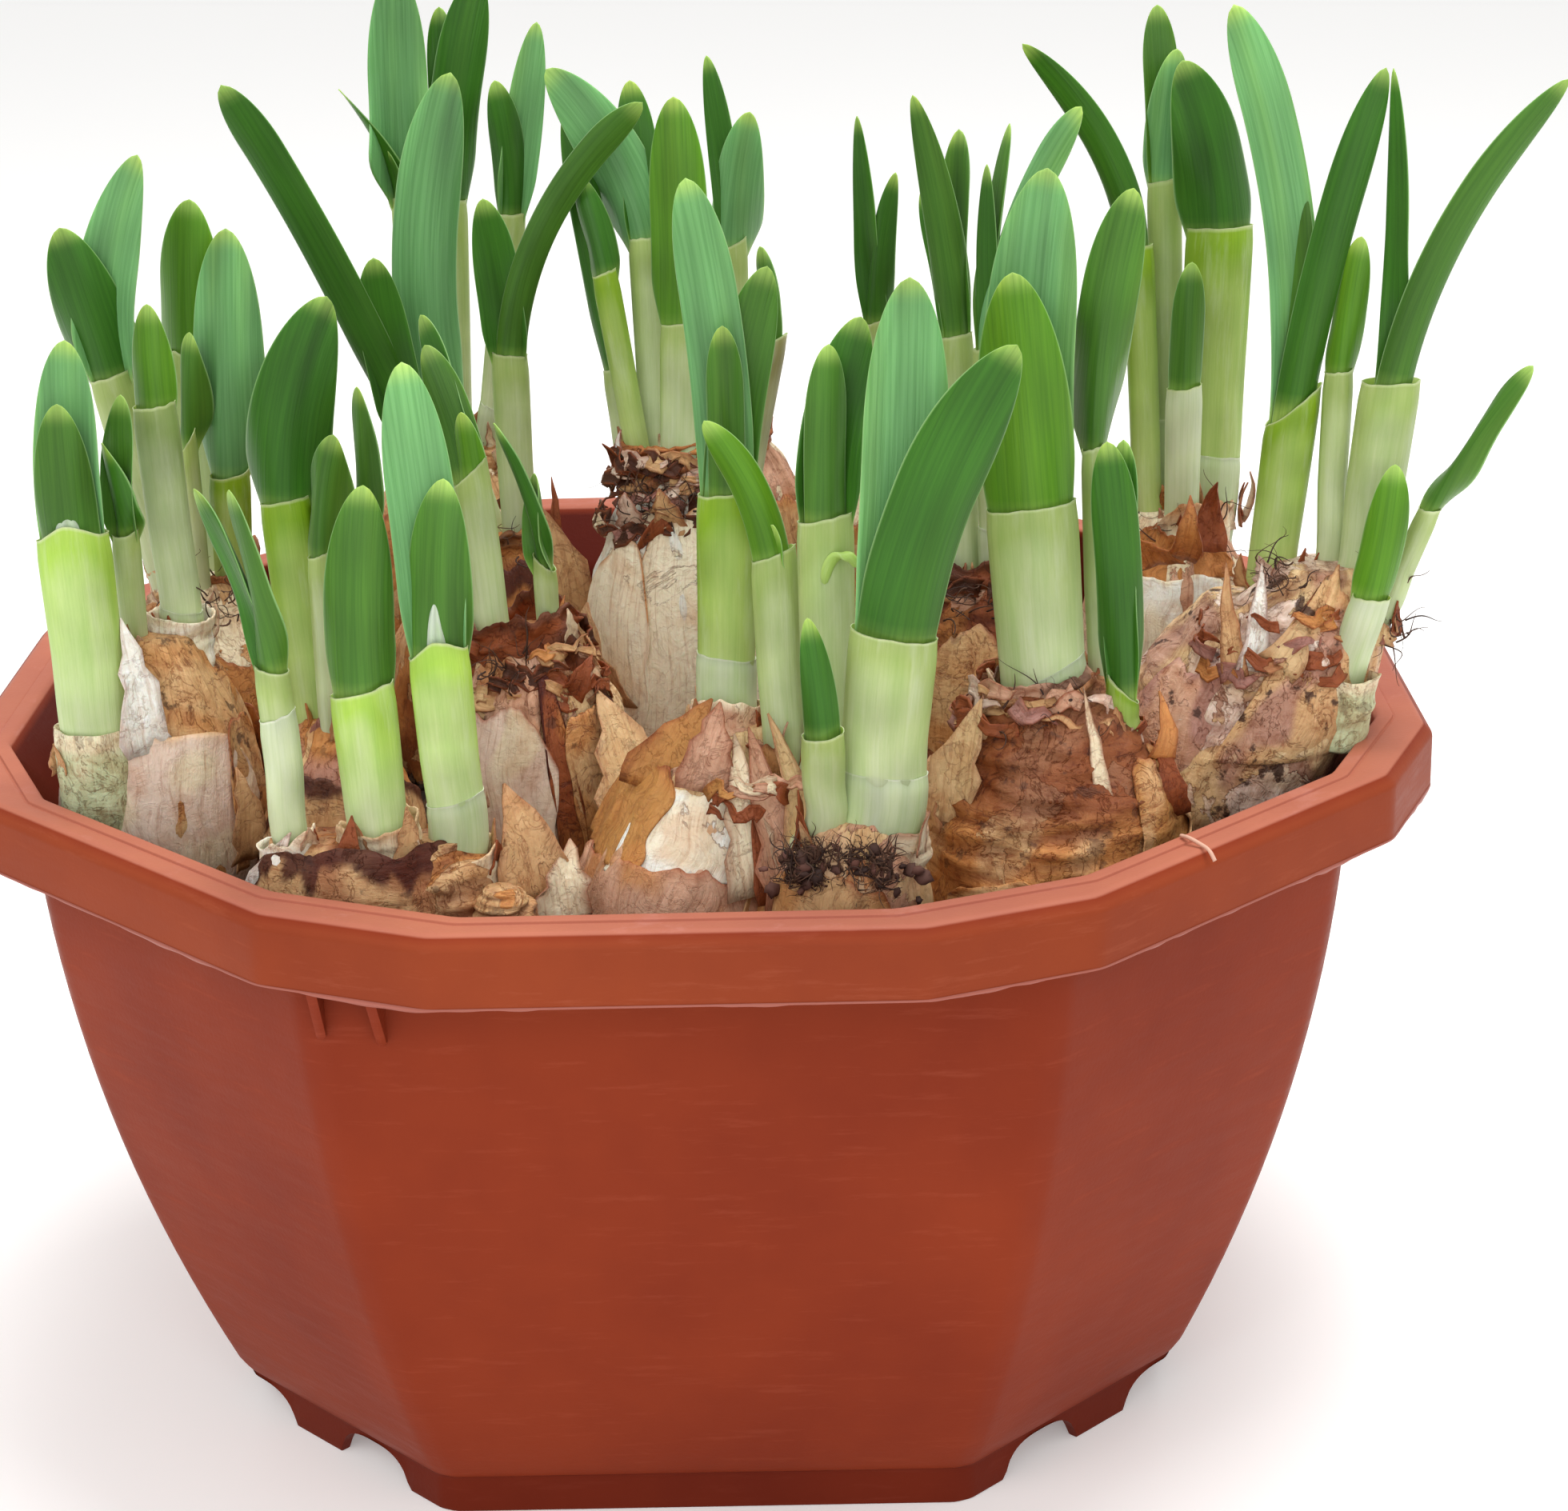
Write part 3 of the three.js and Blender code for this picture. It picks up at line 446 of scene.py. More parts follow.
# The compost: dark, fibrous peat with crumbs and bits of bark, pressed in between the bulbs and sunk below
# the rim, a little higher against the wall.
COMPOST_TOP, COMPOST_WALL_RISE, COMPOST_DEEP = 98, 7, 12
COMPOST_SEGMENTS, COMPOST_RINGS, COMPOST_CORNERS = 240, 90, 110
PEAT, PEAT_PALE = "#2b1e17", "#6b4c35"
CRUMB_COUNT = 2600
LUMP_AROUND, LUMP_LEVELS = 6, (-1, -0.55, 0.1, 0.7, 1)


def compost_rings():
    """The compost: a plug whose surface is rings from the wall to its middle.

    The surface rises towards the wall with the square of the last quarter, plus unevenness of three sizes.
    """
    angle = np.linspace(0, 2 * np.pi, COMPOST_SEGMENTS, endpoint=False)
    wall = outline(angle, body_half(COMPOST_TOP) * BODY_SHARES - WALL - 0.3, COMPOST_CORNERS)
    share = np.concatenate([[0.6, 0.6], np.linspace(0.02, 1, COMPOST_RINGS)[::-1]])[:, None]
    x, y = share * wall * np.cos(angle), share * wall * np.sin(angle)
    spot = np.stack([x, y, 0 * x], -1)
    z = COMPOST_TOP + COMPOST_WALL_RISE * np.clip(share * 4 - 3, 0, 1) ** 2
    z = z + 1.2 * ripple(spot, 16, 11) + 0.8 * ripple(spot, 5, 12) + 0.4 * ripple(spot, 2.5, 13)
    z[:2] = COMPOST_TOP - np.array([[COMPOST_DEEP], [COMPOST_DEEP - 1]])
    return np.stack([x, y, z], -1)[None]


def scattered(shape, places, sizes, seed):
    """Copies of a small shape (rings, round, 3), stretched by their sizes, turned at random and placed."""
    draw = np.random.default_rng(seed)
    turn, _ = np.linalg.qr(draw.normal(size=(len(places), 3, 3)))
    turn *= np.sign(np.linalg.det(turn))[:, None, None]
    stretched = shape[None] * sizes[:, None, None, :]
    return np.einsum("nrpk,nkj->nrpj", stretched, turn) + places[:, None, None, :]


def lump():
    """A small lump: level rings of a ball, made uneven."""
    angle = (np.arange(LUMP_AROUND) + 0.5) * 2 * np.pi / LUMP_AROUND
    level = np.array(LUMP_LEVELS)[:, None]
    radius = np.sqrt(np.clip(1 - level**2, 0.06, 1)) * (1 + 0.22 * np.sin(3 * angle + 4 * level))
    return np.stack([radius * np.cos(angle), radius * np.sin(angle), level + 0 * angle], -1)


def crumb_rings():
    """Crumbs strewn evenly over the compost, most of them two or three millimetres long."""
    draw = np.random.default_rng(21)
    angle = draw.uniform(0, 2 * np.pi, CRUMB_COUNT)
    wall = outline(angle, body_half(COMPOST_TOP) * BODY_SHARES - WALL - 1.5, COMPOST_CORNERS)
    share = np.sqrt(draw.uniform(0.05, 1, CRUMB_COUNT))
    spot = np.stack([share * wall * np.cos(angle), share * wall * np.sin(angle), 0 * angle], -1)
    rise = COMPOST_WALL_RISE * np.clip(share * 4 - 3, 0, 1) ** 2 + 1.2 * ripple(spot, 16, 11)
    spot[:, 2] = COMPOST_TOP + rise + 0.8
    size = 0.5 + draw.gamma(1.6, 0.42, CRUMB_COUNT)
    sizes = size[:, None] * draw.uniform([0.7, 0.5, 0.4], [1.5, 1.0, 0.9], (CRUMB_COUNT, 3))
    return scattered(lump(), spot, sizes, 22)


# Moist peat: near black-brown and matt, with paler bits of bark and moss three millimetres across.
peat, tree = new_material("moist_peat_compost", {"Roughness": 0.95, "Specular IOR Level": 0.25})
spot = add(tree, "ShaderNodeTexCoord", {}, "Object")
bits = add(tree, "ShaderNodeTexNoise", {"Vector": spot, "Scale": 330.0, "Detail": 3.0}, "Fac")
bit_share = add(tree, "ShaderNodeMapRange", {0: bits, 1: 0.52, 2: 0.75, 3: 0.0, 4: 1.0}, 0)
colour = add(tree, "ShaderNodeMix", {0: bit_share, 6: (*linear(PEAT), 1), 7: (*linear(PEAT_PALE), 1)}, 2,
             data_type="RGBA")
feed(tree, "Base Color", colour)
grain = add(tree, "ShaderNodeTexNoise", {"Vector": spot, "Scale": 900.0, "Detail": 4.0}, "Fac")
feed(tree, "Normal", add(tree, "ShaderNodeBump", {"Height": grain, "Strength": 0.8, "Distance": 0.001}, 0))

piece("compost_bed", [(compost_rings(), {}), (crumb_rings(), {})], peat, ["compost"])

# The bulbs: onion-like, of fleshy white scales in papery skins that tear and peel from the neck down.
# Each lobe is given by its root plate, its neck and its radius.
LOBES = {
    "left": [((-88, -43, 92), (-88, -44, 143), 17)],
    "left_rear": [((-84, 8, 88), (-88, 5, 138), 18.5)],
    "left_inner": [((-57, -50, 90), (-58, -50, 130), 13.5)],
    "front_left": [
        ((-50, -86, 88), (-54, -91, 124), 13),
        ((-38, -89, 88), (-36, -92, 124), 11.5),
        ((-27, -96, 100), (-27, -98, 118), 6),
    ],
    "centre_left": [((-22, -35, 88), (-27, -36, 139), 17)],
    "front": [((-5, -78, 88), (7, -70, 134), 19), ((22, -84, 90), (27, -92, 126), 14)],
    "front_right": [((58, -70, 88), (59, -68, 138), 21)],
    "centre": [((-3, 3, 90), (-3, 2, 158), 16.5)],
    "rear_left_inner": [((-39, 21, 88), (-37, 18, 141), 19)],
    "rear_left": [((-48, 66, 88), (-48, 64, 146), 20)],
    "rear": [((2, 66, 88), (4, 64, 148), 19)],
    "centre_right": [((47, -19, 88), (49, -20, 142), 17.5)],
    "rear_right": [((42, 60, 88), (37, 58, 145), 19)],
    "right_rear": [((83, 17, 90), (87, 16, 143), 17.5)],
    "right": [((82, -34, 97), (106, -33, 147), 18), ((80, -32, 98), (93, -30, 141), 16.5)],
}
# How wide a lobe is, as shares of its radius, at shares of its height.
BULB_OUTLINE = [(0, 0.45), (0.2, 0.9), (0.45, 1), (0.72, 0.85), (1, 0.42)]
BULB_CURVE = np.polyfit(*zip(*BULB_OUTLINE), 4)
LOBE_AROUND, LOBE_LEVELS, SKIN_ACROSS, SKIN_LEVELS = 150, 64, 80, 34
# A skin's thickness, and how broad the coloured band along its torn edge is.
SKIN_THICK, TORN_BAND, TORN_BAND_MAROON = 0.3, 1.2, 4.4
# The "pale" skin is partly painted light: a cream lighter than the real skin, used only on the centre bulb.
SKINS = {
    "tan": "#d3a877", "straw": "#e0bd8c", "pink": "#d3a487", "orange": "#c5854a", "amber": "#bd8549",
    "mauve": "#a9796e", "rust": "#8f4b28", "dark": "#4a2818", "maroon": "#48140e", "cream": "#f1dfbd",
    "white": "#f9f6ec", "grey": "#ead0bd", "veil": "#c6cba0", "pale": "#fff0d4"}
# Each bulb's outer skin, the colour of its stains, the fresher skin under it, the share of the outer skin
# that is left, how far its wrinkles run across instead of along, and how speckled it is.
SKIN_LOOKS = {
    "left": ("tan", "orange", "orange", 0.75, 0.2, 0.8),
    "left_rear": ("tan", "orange", "cream", 0.6, 0.2, 0.3),
    "left_inner": ("orange", "mauve", "tan", 0.6, 0.3, 0.4),
    "front_left": ("tan", "rust", "orange", 0.6, 0.85, 0.6),
    "centre_left": ("pink", "orange", "straw", 0.6, 0.2, 0.6),
    "front": ("pink", "orange", "straw", 0.55, 0.1, 0.1),
    "front_right": ("orange", "tan", "tan", 0.7, 0.95, 0.6),
    # The centre bulb's skins are its own pale cream, painted lighter still as painted light against the
    # shoots' shade.
    "centre": ("pale", "pale", "white", 0.5, 0.0, 0.05),
    "rear_left_inner": ("orange", "rust", "tan", 0.6, 0.1, 0.2),
    "rear_left": ("tan", "orange", "cream", 0.6, 0.2, 0.3),
    "rear": ("pink", "orange", "cream", 0.6, 0.1, 0.3),
    "centre_right": ("rust", "orange", "pink", 0.5, 0.5, 0.4),
    "rear_right": ("tan", "mauve", "cream", 0.6, 0.2, 0.3),
    "right_rear": ("pink", "orange", "cream", 0.45, 0.1, 0.2),
    "right": ("straw", "mauve", "grey", 0.5, 0.5, 1.0),
}
# Skins that stand off the bulb: the lobe, the way they face in degrees, their lower and upper share of its
# height, half their breadth in degrees, how far the torn edge lifts and how ragged it is in millimetres,
# the skin's colour and its edge's colour.
LOOSE_SKINS = {
    "left": [
        (0, 250, 0.1, 0.75, 88, 0.7, 0.25, "grey", "tan"),
        (0, 335, 0.25, 0.66, 16, 1.6, 3, "tan", "rust"),
        (0, 80, 0.2, 0.7, 60, 1.0, 2, "orange", "rust"),
    ],
    "left_rear": [
        (0, 280, 0.3, 0.8, 60, 0.9, 2, "orange", "rust"),
        (0, 130, 0.2, 0.7, 70, 0.8, 2, "tan", "rust"),
    ],
    "left_inner": [(0, 280, 0.3, 0.82, 70, 0.8, 2, "tan", "maroon")],
    "front_left": [(3, 268, 0.1, 0.79, 56, 1.3, 1.0, "tan", "maroon")],
    "centre_left": [
        (0, 235, 0.2, 0.84, 46, 0.9, 1.6, "grey", "rust"),
        (0, 286, 0.1, 0.97, 8, 0.5, 1.2, "rust", "maroon"),
        (0, 314, 0.2, 0.8, 24, 1.0, 2.0, "tan", "orange"),
        (0, 90, 0.3, 0.8, 60, 0.9, 2, "orange", "rust"),
    ],
    "front": [
        (0, 245, 0.1, 0.66, 70, 0.9, 1.8, "pink", "rust"),
        (0, 252, 0.6, 0.88, 34, 0.15, 0.6, "white", "cream"),
        (0, 200, 0.62, 0.97, 40, 0.9, 1.5, "amber", "rust"),
        (0, 318, 0.2, 0.97, 24, 0.8, 1.2, "tan", "rust"),
        (1, 250, 0.1, 0.8, 60, 0.7, 1.5, "tan", "rust"),
    ],
    "front_right": [
        (0, 285, 0.1, 0.5, 70, 0.4, 1.0, "tan", "orange"),
        (0, 335, 0.3, 0.88, 28, 1.2, 2, "amber", "rust"),
        (0, 60, 0.3, 0.8, 70, 0.9, 2, "tan", "rust"),
    ],
    # Painted light: the centre bulb's loose skins are painted paler than their own cream, against the shoots'
    # shade.
    "centre": [
        (0, 222, 0.2, 0.82, 30, 1.0, 2.0, "pale", "orange"),
        (0, 290, 0.2, 0.9, 50, 0.6, 2, "pale", "orange"),
    ],
    "rear_left_inner": [
        (0, 300, 0.4, 0.95, 50, 1.1, 3, "orange", "maroon"),
        (0, 90, 0.3, 0.8, 60, 0.9, 2, "tan", "rust"),
    ],
    "rear_left": [
        (0, 250, 0.3, 0.85, 60, 1.0, 2, "orange", "rust"),
        (0, 100, 0.3, 0.75, 70, 0.9, 2, "tan", "rust"),
    ],
    "rear": [
        (0, 280, 0.3, 0.85, 60, 1.0, 2, "tan", "rust"),
        (0, 80, 0.3, 0.78, 70, 0.9, 2, "pink", "rust"),
    ],
    "centre_right": [
        (0, 235, 0.3, 0.9, 50, 1.2, 2.5, "tan", "rust"),
        (0, 330, 0.3, 0.85, 40, 1.0, 2, "orange", "rust"),
    ],
    "rear_right": [
        (0, 260, 0.3, 0.85, 60, 1.0, 2, "orange", "rust"),
        (0, 60, 0.3, 0.78, 70, 0.9, 2, "tan", "rust"),
    ],
    "right_rear": [
        (0, 262, 0.5, 0.86, 50, 0.5, 0.6, "white", "cream"),
        (0, 255, 0.84, 1.0, 60, 1.6, 1.6, "orange", "rust"),
        (0, 60, 0.3, 0.8, 70, 0.9, 2, "tan", "rust"),
    ],
    "right": [
        (0, 300, 0.45, 0.95, 50, 0.9, 2.5, "tan", "rust"),
        (1, 260, 0.1, 0.8, 60, 0.5, 1.5, "pink", "mauve"),
        (0, 80, 0.4, 0.9, 60, 0.9, 2, "orange", "rust"),
    ],
}
# The front left bulb's outer skin is one sheet over both its noses, shaped as if on a wider lobe.
FRONT_SKIN_LOBE = ((-48, -78, 92), (-48, -80, 134), 24)
TEAR_BROWN, SPECK_BROWN = "#7c4526", "#432820"
# What the skin's colour is multiplied by where it is cloudy, scuffed, spotted, grooved or creased.
CLOUDED, SCUFFED, SPOTTED = (0.72, 0.47, 0.32, 1), (1.3, 1.4, 1.55, 1), (0.55, 0.34, 0.24, 1)
GROOVED, CREASED = (0.5, 0.28, 0.18, 1), (0.5, 0.27, 0.17, 1)


def blend(first, second, share):
    """A mix of two colours or places: the share of the second, the rest of the first."""
    return first + (second - first) * np.asarray(share)[..., None]


def lobe_surface(lobe, angle, height, out):
    """Points on a lobe: its axis at a height, plus its radius there and a distance in an angle's direction.

    The radius is a curve of the fourth degree through the bulb's outline, with three per cent of unevenness.
    """
    base, neck, radius = np.array(lobe[0], float), np.array(lobe[1], float), lobe[2]
    axis = base + (neck - base) * height[..., None]
    direction = np.stack([np.cos(angle), np.sin(angle), 0 * angle], -1)
    seed = int(abs(base[0]) + abs(base[1]))
    uneven = 1 + 0.03 * ripple(axis + direction * radius, 24, seed)
    wide = radius * np.polyval(BULB_CURVE, np.clip(height, 0, 1.04)) * uneven
    return axis + direction * (wide + out)[..., None]


def skin_values(points, flat, look, seed):
    """What a skin's material reads at each point: its colours, its straightened place and its look."""
    outer, stain, under, left, cross, dots = look
    outer, stain, under = (linear(SKINS[name]) for name in (outer, stain, under))
    tint = blend(outer + 0 * points, stain, 0.75 * smooth(ripple(points, 11, seed)))
    inner = blend(under + 0 * points, outer, 0.5 * smooth(ripple(points, 13, seed + 1)))
    crosswise = cross + 0.2 * ripple(points, 20, seed + 2)
    looks = np.clip(np.stack([crosswise, dots + 0 * crosswise, left + 0 * crosswise], -1), 0, 1)
    return {"tint": tint[None], "under": inner[None], "straight": flat[None], "look": looks[None]}


def lobe_rings(name, lobe, seed):
    """A lobe's closed surface: its outline with dents, long folds or cross folds, and its skins' values.

    The valleys of cross folds are darker, and the most wrinkled bulb is darker towards its neck.
    """
    around = np.arange(LOBE_AROUND) * 2 * np.pi / LOBE_AROUND
    angle, height = np.meshgrid(around, np.linspace(0, 1.02, LOBE_LEVELS))
    spot = lobe_surface(lobe, angle, height, 0 * angle)
    radius, cross = lobe[2], SKIN_LOOKS[name][4]
    flat = np.stack([radius * np.cos(angle), radius * np.sin(angle), height * 50 + seed], -1)
    folds = 0.3 * (1 - cross) * ripple(flat * [1, 1, 0.12], 3.4, seed)
    wrinkles = ripple(flat * [0.2, 0.2, 1], 3.0, seed + 1) * smooth(height * 3 - 0.9)
    folds = folds + 0.6 * cross * wrinkles
    rings = lobe_surface(lobe, angle, height, folds + 0.5 * ripple(spot, 10, seed + 2))
    values = skin_values(spot, flat, SKIN_LOOKS[name], seed + 5)
    dark = (cross > 0.4) * smooth(-1.6 * wrinkles) + (cross > 0.9) * (1.9 * smooth(height * 5 - 2.9) - 0.2)
    valley = 1 - np.clip(dark, 0, 1.5)[..., None] * [0.37, 0.46, 0.46]
    for key in ("tint", "under"):
        values[key] = values[key] * valley
    return rings[None], values


def closed_sheet(grid, thick):
    """A thin sheet as closed rings: its points moved half its thickness to one side, then to the other."""
    normal = np.cross(np.gradient(grid, axis=-3), np.gradient(grid, axis=-2))
    normal /= np.maximum(np.linalg.norm(normal, axis=-1, keepdims=True), 1e-9)
    return np.concatenate([grid + normal * thick / 2, (grid - normal * thick / 2)[..., ::-1, :]], -2)


def loose_skin(lobe, row, name, seed):
    """A skin that stands off its lobe.

    It follows the lobe between two heights and two angles. Its upper edge is torn: a sum of waves of three
    sizes moves it up and down. It lies 0.4 mm off the lobe and lifts with the fourth power of the nearness
    to its upper edge and the sixth power of that to its sides.
    """
    _, facing, low, high, breadth, lift, ragged, colour, edge = row
    side, up = np.meshgrid(np.linspace(-1, 1, SKIN_ACROSS), np.linspace(0, 1, SKIN_LEVELS))
    tall = lobe[1][2] - lobe[0][2]
    # How far round the lobe a point lies, in millimetres: 57 degrees of it are one radius long.
    round_it = side * breadth * lobe[2] / 57
    tear = np.stack([round_it, 0 * side, 0 * side + seed], -1)
    torn = ripple(tear, 16, seed) + 0.35 * ripple(tear, 6, seed + 1) + 0.12 * ripple(tear, 2, seed + 2)
    top = high + ragged * torn / tall - 0.25 * (high - low) * side**6
    height = low + (top - low) * up
    sway = 0.05 * ripple(tear[:, :, [2, 1, 0]] + up[..., None] * 20, 14, seed)
    angle = np.radians(facing + breadth * (side + sway))
    near = np.maximum(up**4, 0.7 * side**6)
    out = 0.4 + lift * near * (1 + 0.5 * ripple(tear, 8, seed + 3))
    flat = np.stack([round_it, 0 * side, height * 50 + seed], -1)
    _, stain, _, _, cross, dots = SKIN_LOOKS[name]
    out = out + 0.2 * ripple(flat * ([0.2, 1, 1] if cross > 0.5 else [1, 1, 0.15]), 3.4, seed + 4)
    grid = lobe_surface(lobe, angle, height, out)
    if colour in ("white", "grey"):
        stain, dots = "cream", 0
    values = skin_values(grid, flat, (colour, stain, colour, 0.85, cross, dots), seed + 6)
    band = TORN_BAND_MAROON if edge == "maroon" else TORN_BAND
    under_edge = up * (top - low) * tall - (top - low) * tall
    rim = smooth((under_edge + band * (1 + 0.35 * ripple(tear, 5, seed + 7))) / 1.6)
    for key in ("tint", "under"):
        values[key] = blend(values[key], linear(SKINS[edge]), 0.92 * rim)
    both = {key: np.concatenate([value, value[:, :, ::-1]], 2) for key, value in values.items()}
    return closed_sheet(grid, SKIN_THICK)[None], both


# Papery bulb skin: thin dry tissue, satin where it is tight. The older outer skin is torn in ragged patches
# over a fresher one. Fine fibres run from root to neck, or wrinkles run across where it has dried, and it is
# mottled with paler scuffs, browner clouds, creases and dots of old tissue.
papery, tree = new_material("papery_bulb_tunic", {
    "Roughness": 0.45, "IOR": 1.45, "Specular IOR Level": 0.3, "Subsurface Weight": 0.1,
    "Subsurface Scale": 0.001})
tint = add(tree, "ShaderNodeAttribute", {}, "Color", attribute_name="tint")
under = add(tree, "ShaderNodeAttribute", {}, "Color", attribute_name="under")
straight = add(tree, "ShaderNodeAttribute", {}, "Vector", attribute_name="straight")
look = add(tree, "ShaderNodeAttribute", {}, "Vector", attribute_name="look")
cross_share = add(tree, "ShaderNodeSeparateXYZ", {"Vector": look}, "X")
dot_amount = add(tree, "ShaderNodeSeparateXYZ", {"Vector": look}, "Y")
skin_left = add(tree, "ShaderNodeSeparateXYZ", {"Vector": look}, "Z")
spot = add(tree, "ShaderNodeTexCoord", {}, "Object")
# Tears: patches one to two centimetres long with an outline that is ragged down to half a millimetre.
tears = add(tree, "ShaderNodeTexNoise", {"Vector": spot, "Scale": 62.0, "Detail": 7.0, "Roughness": 0.58,
                                         "Distortion": 0.6}, "Fac")
left_over = add(tree, "ShaderNodeMath", {0: skin_left, 1: 0.4}, 0, operation="MULTIPLY")
level = add(tree, "ShaderNodeMath", {0: tears, 1: left_over}, 0, operation="ADD")
outer_share = add(tree, "ShaderNodeMapRange", {0: level, 1: 0.7, 2: 0.71, 3: 0.0, 4: 1.0}, 0)
colour = add(tree, "ShaderNodeMix", {0: outer_share, 6: under, 7: tint}, 2, data_type="RGBA")
from_tear = add(tree, "ShaderNodeMath", {0: level, 1: 0.709}, 0, operation="SUBTRACT")
from_tear = add(tree, "ShaderNodeMath", {0: from_tear}, 0, operation="ABSOLUTE")
tear_line = add(tree, "ShaderNodeMapRange", {0: from_tear, 1: 0.0, 2: 0.007, 3: 0.5, 4: 0.0}, 0)
colour = add(tree, "ShaderNodeMix", {0: tear_line, 6: colour, 7: (*linear(TEAR_BROWN), 1)}, 2,
             data_type="RGBA")
# Clouds about a centimetre across where the skin is browner, ragged at their edges.
clouds = add(tree, "ShaderNodeTexNoise", {"Vector": spot, "Scale": 95.0, "Detail": 8.0, "Roughness": 0.68,
                                          "Distortion": 0.5}, "Fac")
cloud_share = add(tree, "ShaderNodeMapRange", {0: clouds, 1: 0.5, 2: 0.66, 3: 0.0, 4: 0.5}, 0)
colour = add(tree, "ShaderNodeMix", {0: cloud_share, 6: colour, 7: CLOUDED}, 2, data_type="RGBA",
             blend_type="MULTIPLY")
# Mottling at two to three millimetres, stronger on speckled skins: pale scuffs and browner spots.
mottle = add(tree, "ShaderNodeTexNoise", {"Vector": spot, "Scale": 380.0, "Detail": 6.0, "Roughness": 0.72,
                                          "Distortion": 0.8}, "Fac")
mottled = add(tree, "ShaderNodeMapRange", {0: dot_amount, 1: 0.0, 2: 0.5, 3: 0.2, 4: 1.0}, 0)
pale_share = add(tree, "ShaderNodeMapRange", {0: mottle, 1: 0.5, 2: 0.66, 3: 0.0, 4: 0.8}, 0)
pale_share = add(tree, "ShaderNodeMath", {0: pale_share, 1: mottled}, 0, operation="MULTIPLY")
colour = add(tree, "ShaderNodeMix", {0: pale_share, 6: colour, 7: SCUFFED}, 2, data_type="RGBA",
             blend_type="MULTIPLY")
brown_share = add(tree, "ShaderNodeMapRange", {0: mottle, 1: 0.36, 2: 0.47, 3: 0.6, 4: 0.0}, 0)
brown_share = add(tree, "ShaderNodeMath", {0: brown_share, 1: mottled}, 0, operation="MULTIPLY")
colour = add(tree, "ShaderNodeMix", {0: brown_share, 6: colour, 7: SPOTTED}, 2, data_type="RGBA",
             blend_type="MULTIPLY")
# Fibres half a millimetre apart along the bulb, or wrinkles a millimetre apart across it.
long_spot = add(tree, "ShaderNodeMapping", {"Vector": straight, "Scale": (1, 1, 0.07)}, 0)
cross_spot = add(tree, "ShaderNodeMapping", {"Vector": straight, "Scale": (0.2, 0.2, 1)}, 0)
long_lines = add(tree, "ShaderNodeTexNoise", {"Vector": long_spot, "Scale": 1.5, "Detail": 5.0,
                                              "Roughness": 0.6, "Distortion": 0.3}, "Fac")
cross_lines = add(tree, "ShaderNodeTexNoise", {"Vector": cross_spot, "Scale": 0.9, "Detail": 7.0,
                                               "Roughness": 0.65, "Distortion": 0.5}, "Fac")
lines = add(tree, "ShaderNodeMix", {0: cross_share, 2: long_lines, 3: cross_lines}, 0)
groove_share = add(tree, "ShaderNodeMapRange", {0: lines, 1: 0.38, 2: 0.48, 3: 0.6, 4: 0.0}, 0)
groove_share = add(tree, "ShaderNodeMath", {0: groove_share, 1: 0.55}, 0, operation="MULTIPLY")
more_share = add(tree, "ShaderNodeMath", {0: groove_share, 1: cross_share}, 0, operation="MULTIPLY")
groove_share = add(tree, "ShaderNodeMath", {0: groove_share, 1: more_share}, 0, operation="ADD")
colour = add(tree, "ShaderNodeMix", {0: groove_share, 6: colour, 7: GROOVED}, 2, data_type="RGBA",
             blend_type="MULTIPLY")
# Creases: thin dark lines that wander over the skin half a centimetre apart, where it has been crushed.
crushed = add(tree, "ShaderNodeTexNoise", {"Vector": spot, "Scale": 165.0, "Detail": 6.0, "Roughness": 0.6,
                                           "Distortion": 1.3}, "Fac")
from_crease = add(tree, "ShaderNodeMath", {0: crushed, 1: 0.5}, 0, operation="SUBTRACT")
from_crease = add(tree, "ShaderNodeMath", {0: from_crease}, 0, operation="ABSOLUTE")
crease_share = add(tree, "ShaderNodeMapRange", {0: from_crease, 1: 0.002, 2: 0.016, 3: 0.6, 4: 0.0}, 0)
crease_share = add(tree, "ShaderNodeMath", {0: crease_share, 1: mottled}, 0, operation="MULTIPLY")
colour = add(tree, "ShaderNodeMix", {0: crease_share, 6: colour, 7: CREASED}, 2, data_type="RGBA",
             blend_type="MULTIPLY")
# Dots of old tissue and compost, half a millimetre to two across.
dots = add(tree, "ShaderNodeTexNoise", {"Vector": spot, "Scale": 240.0, "Detail": 4.0, "Roughness": 0.6},
           "Fac")
dot_share = add(tree, "ShaderNodeMapRange", {0: dots, 1: 0.6, 2: 0.65, 3: 0.0, 4: 0.9}, 0)
dot_share = add(tree, "ShaderNodeMath", {0: dot_share, 1: dot_amount}, 0, operation="MULTIPLY")
colour = add(tree, "ShaderNodeMix", {0: dot_share, 6: colour, 7: (*linear(SPECK_BROWN), 1)}, 2,
             data_type="RGBA")
feed(tree, "Base Color", colour)
relief = add(tree, "ShaderNodeMath", {0: lines, 1: mottle}, 0, operation="ADD")
relief = add(tree, "ShaderNodeMath", {0: relief, 1: outer_share}, 0, operation="ADD")
relief = add(tree, "ShaderNodeMath", {0: relief, 1: crease_share}, 0, operation="SUBTRACT")
feed(tree, "Normal", add(tree, "ShaderNodeBump", {"Height": relief, "Strength": 0.7, "Distance": 0.0005}, 0))

for number, (name, lobes) in enumerate(LOBES.items()):
    parts = [lobe_rings(name, lobe, 100 + 20 * number + 7 * i) for i, lobe in enumerate(lobes)]
    for i, row in enumerate(LOOSE_SKINS[name]):
        carrier = FRONT_SKIN_LOBE if row[0] == len(lobes) else lobes[row[0]]
        parts.append(loose_skin(carrier, row, name, 500 + 20 * number + 3 * i))
    piece(name + "_bulb", parts, papery, ["bulb_" + name])

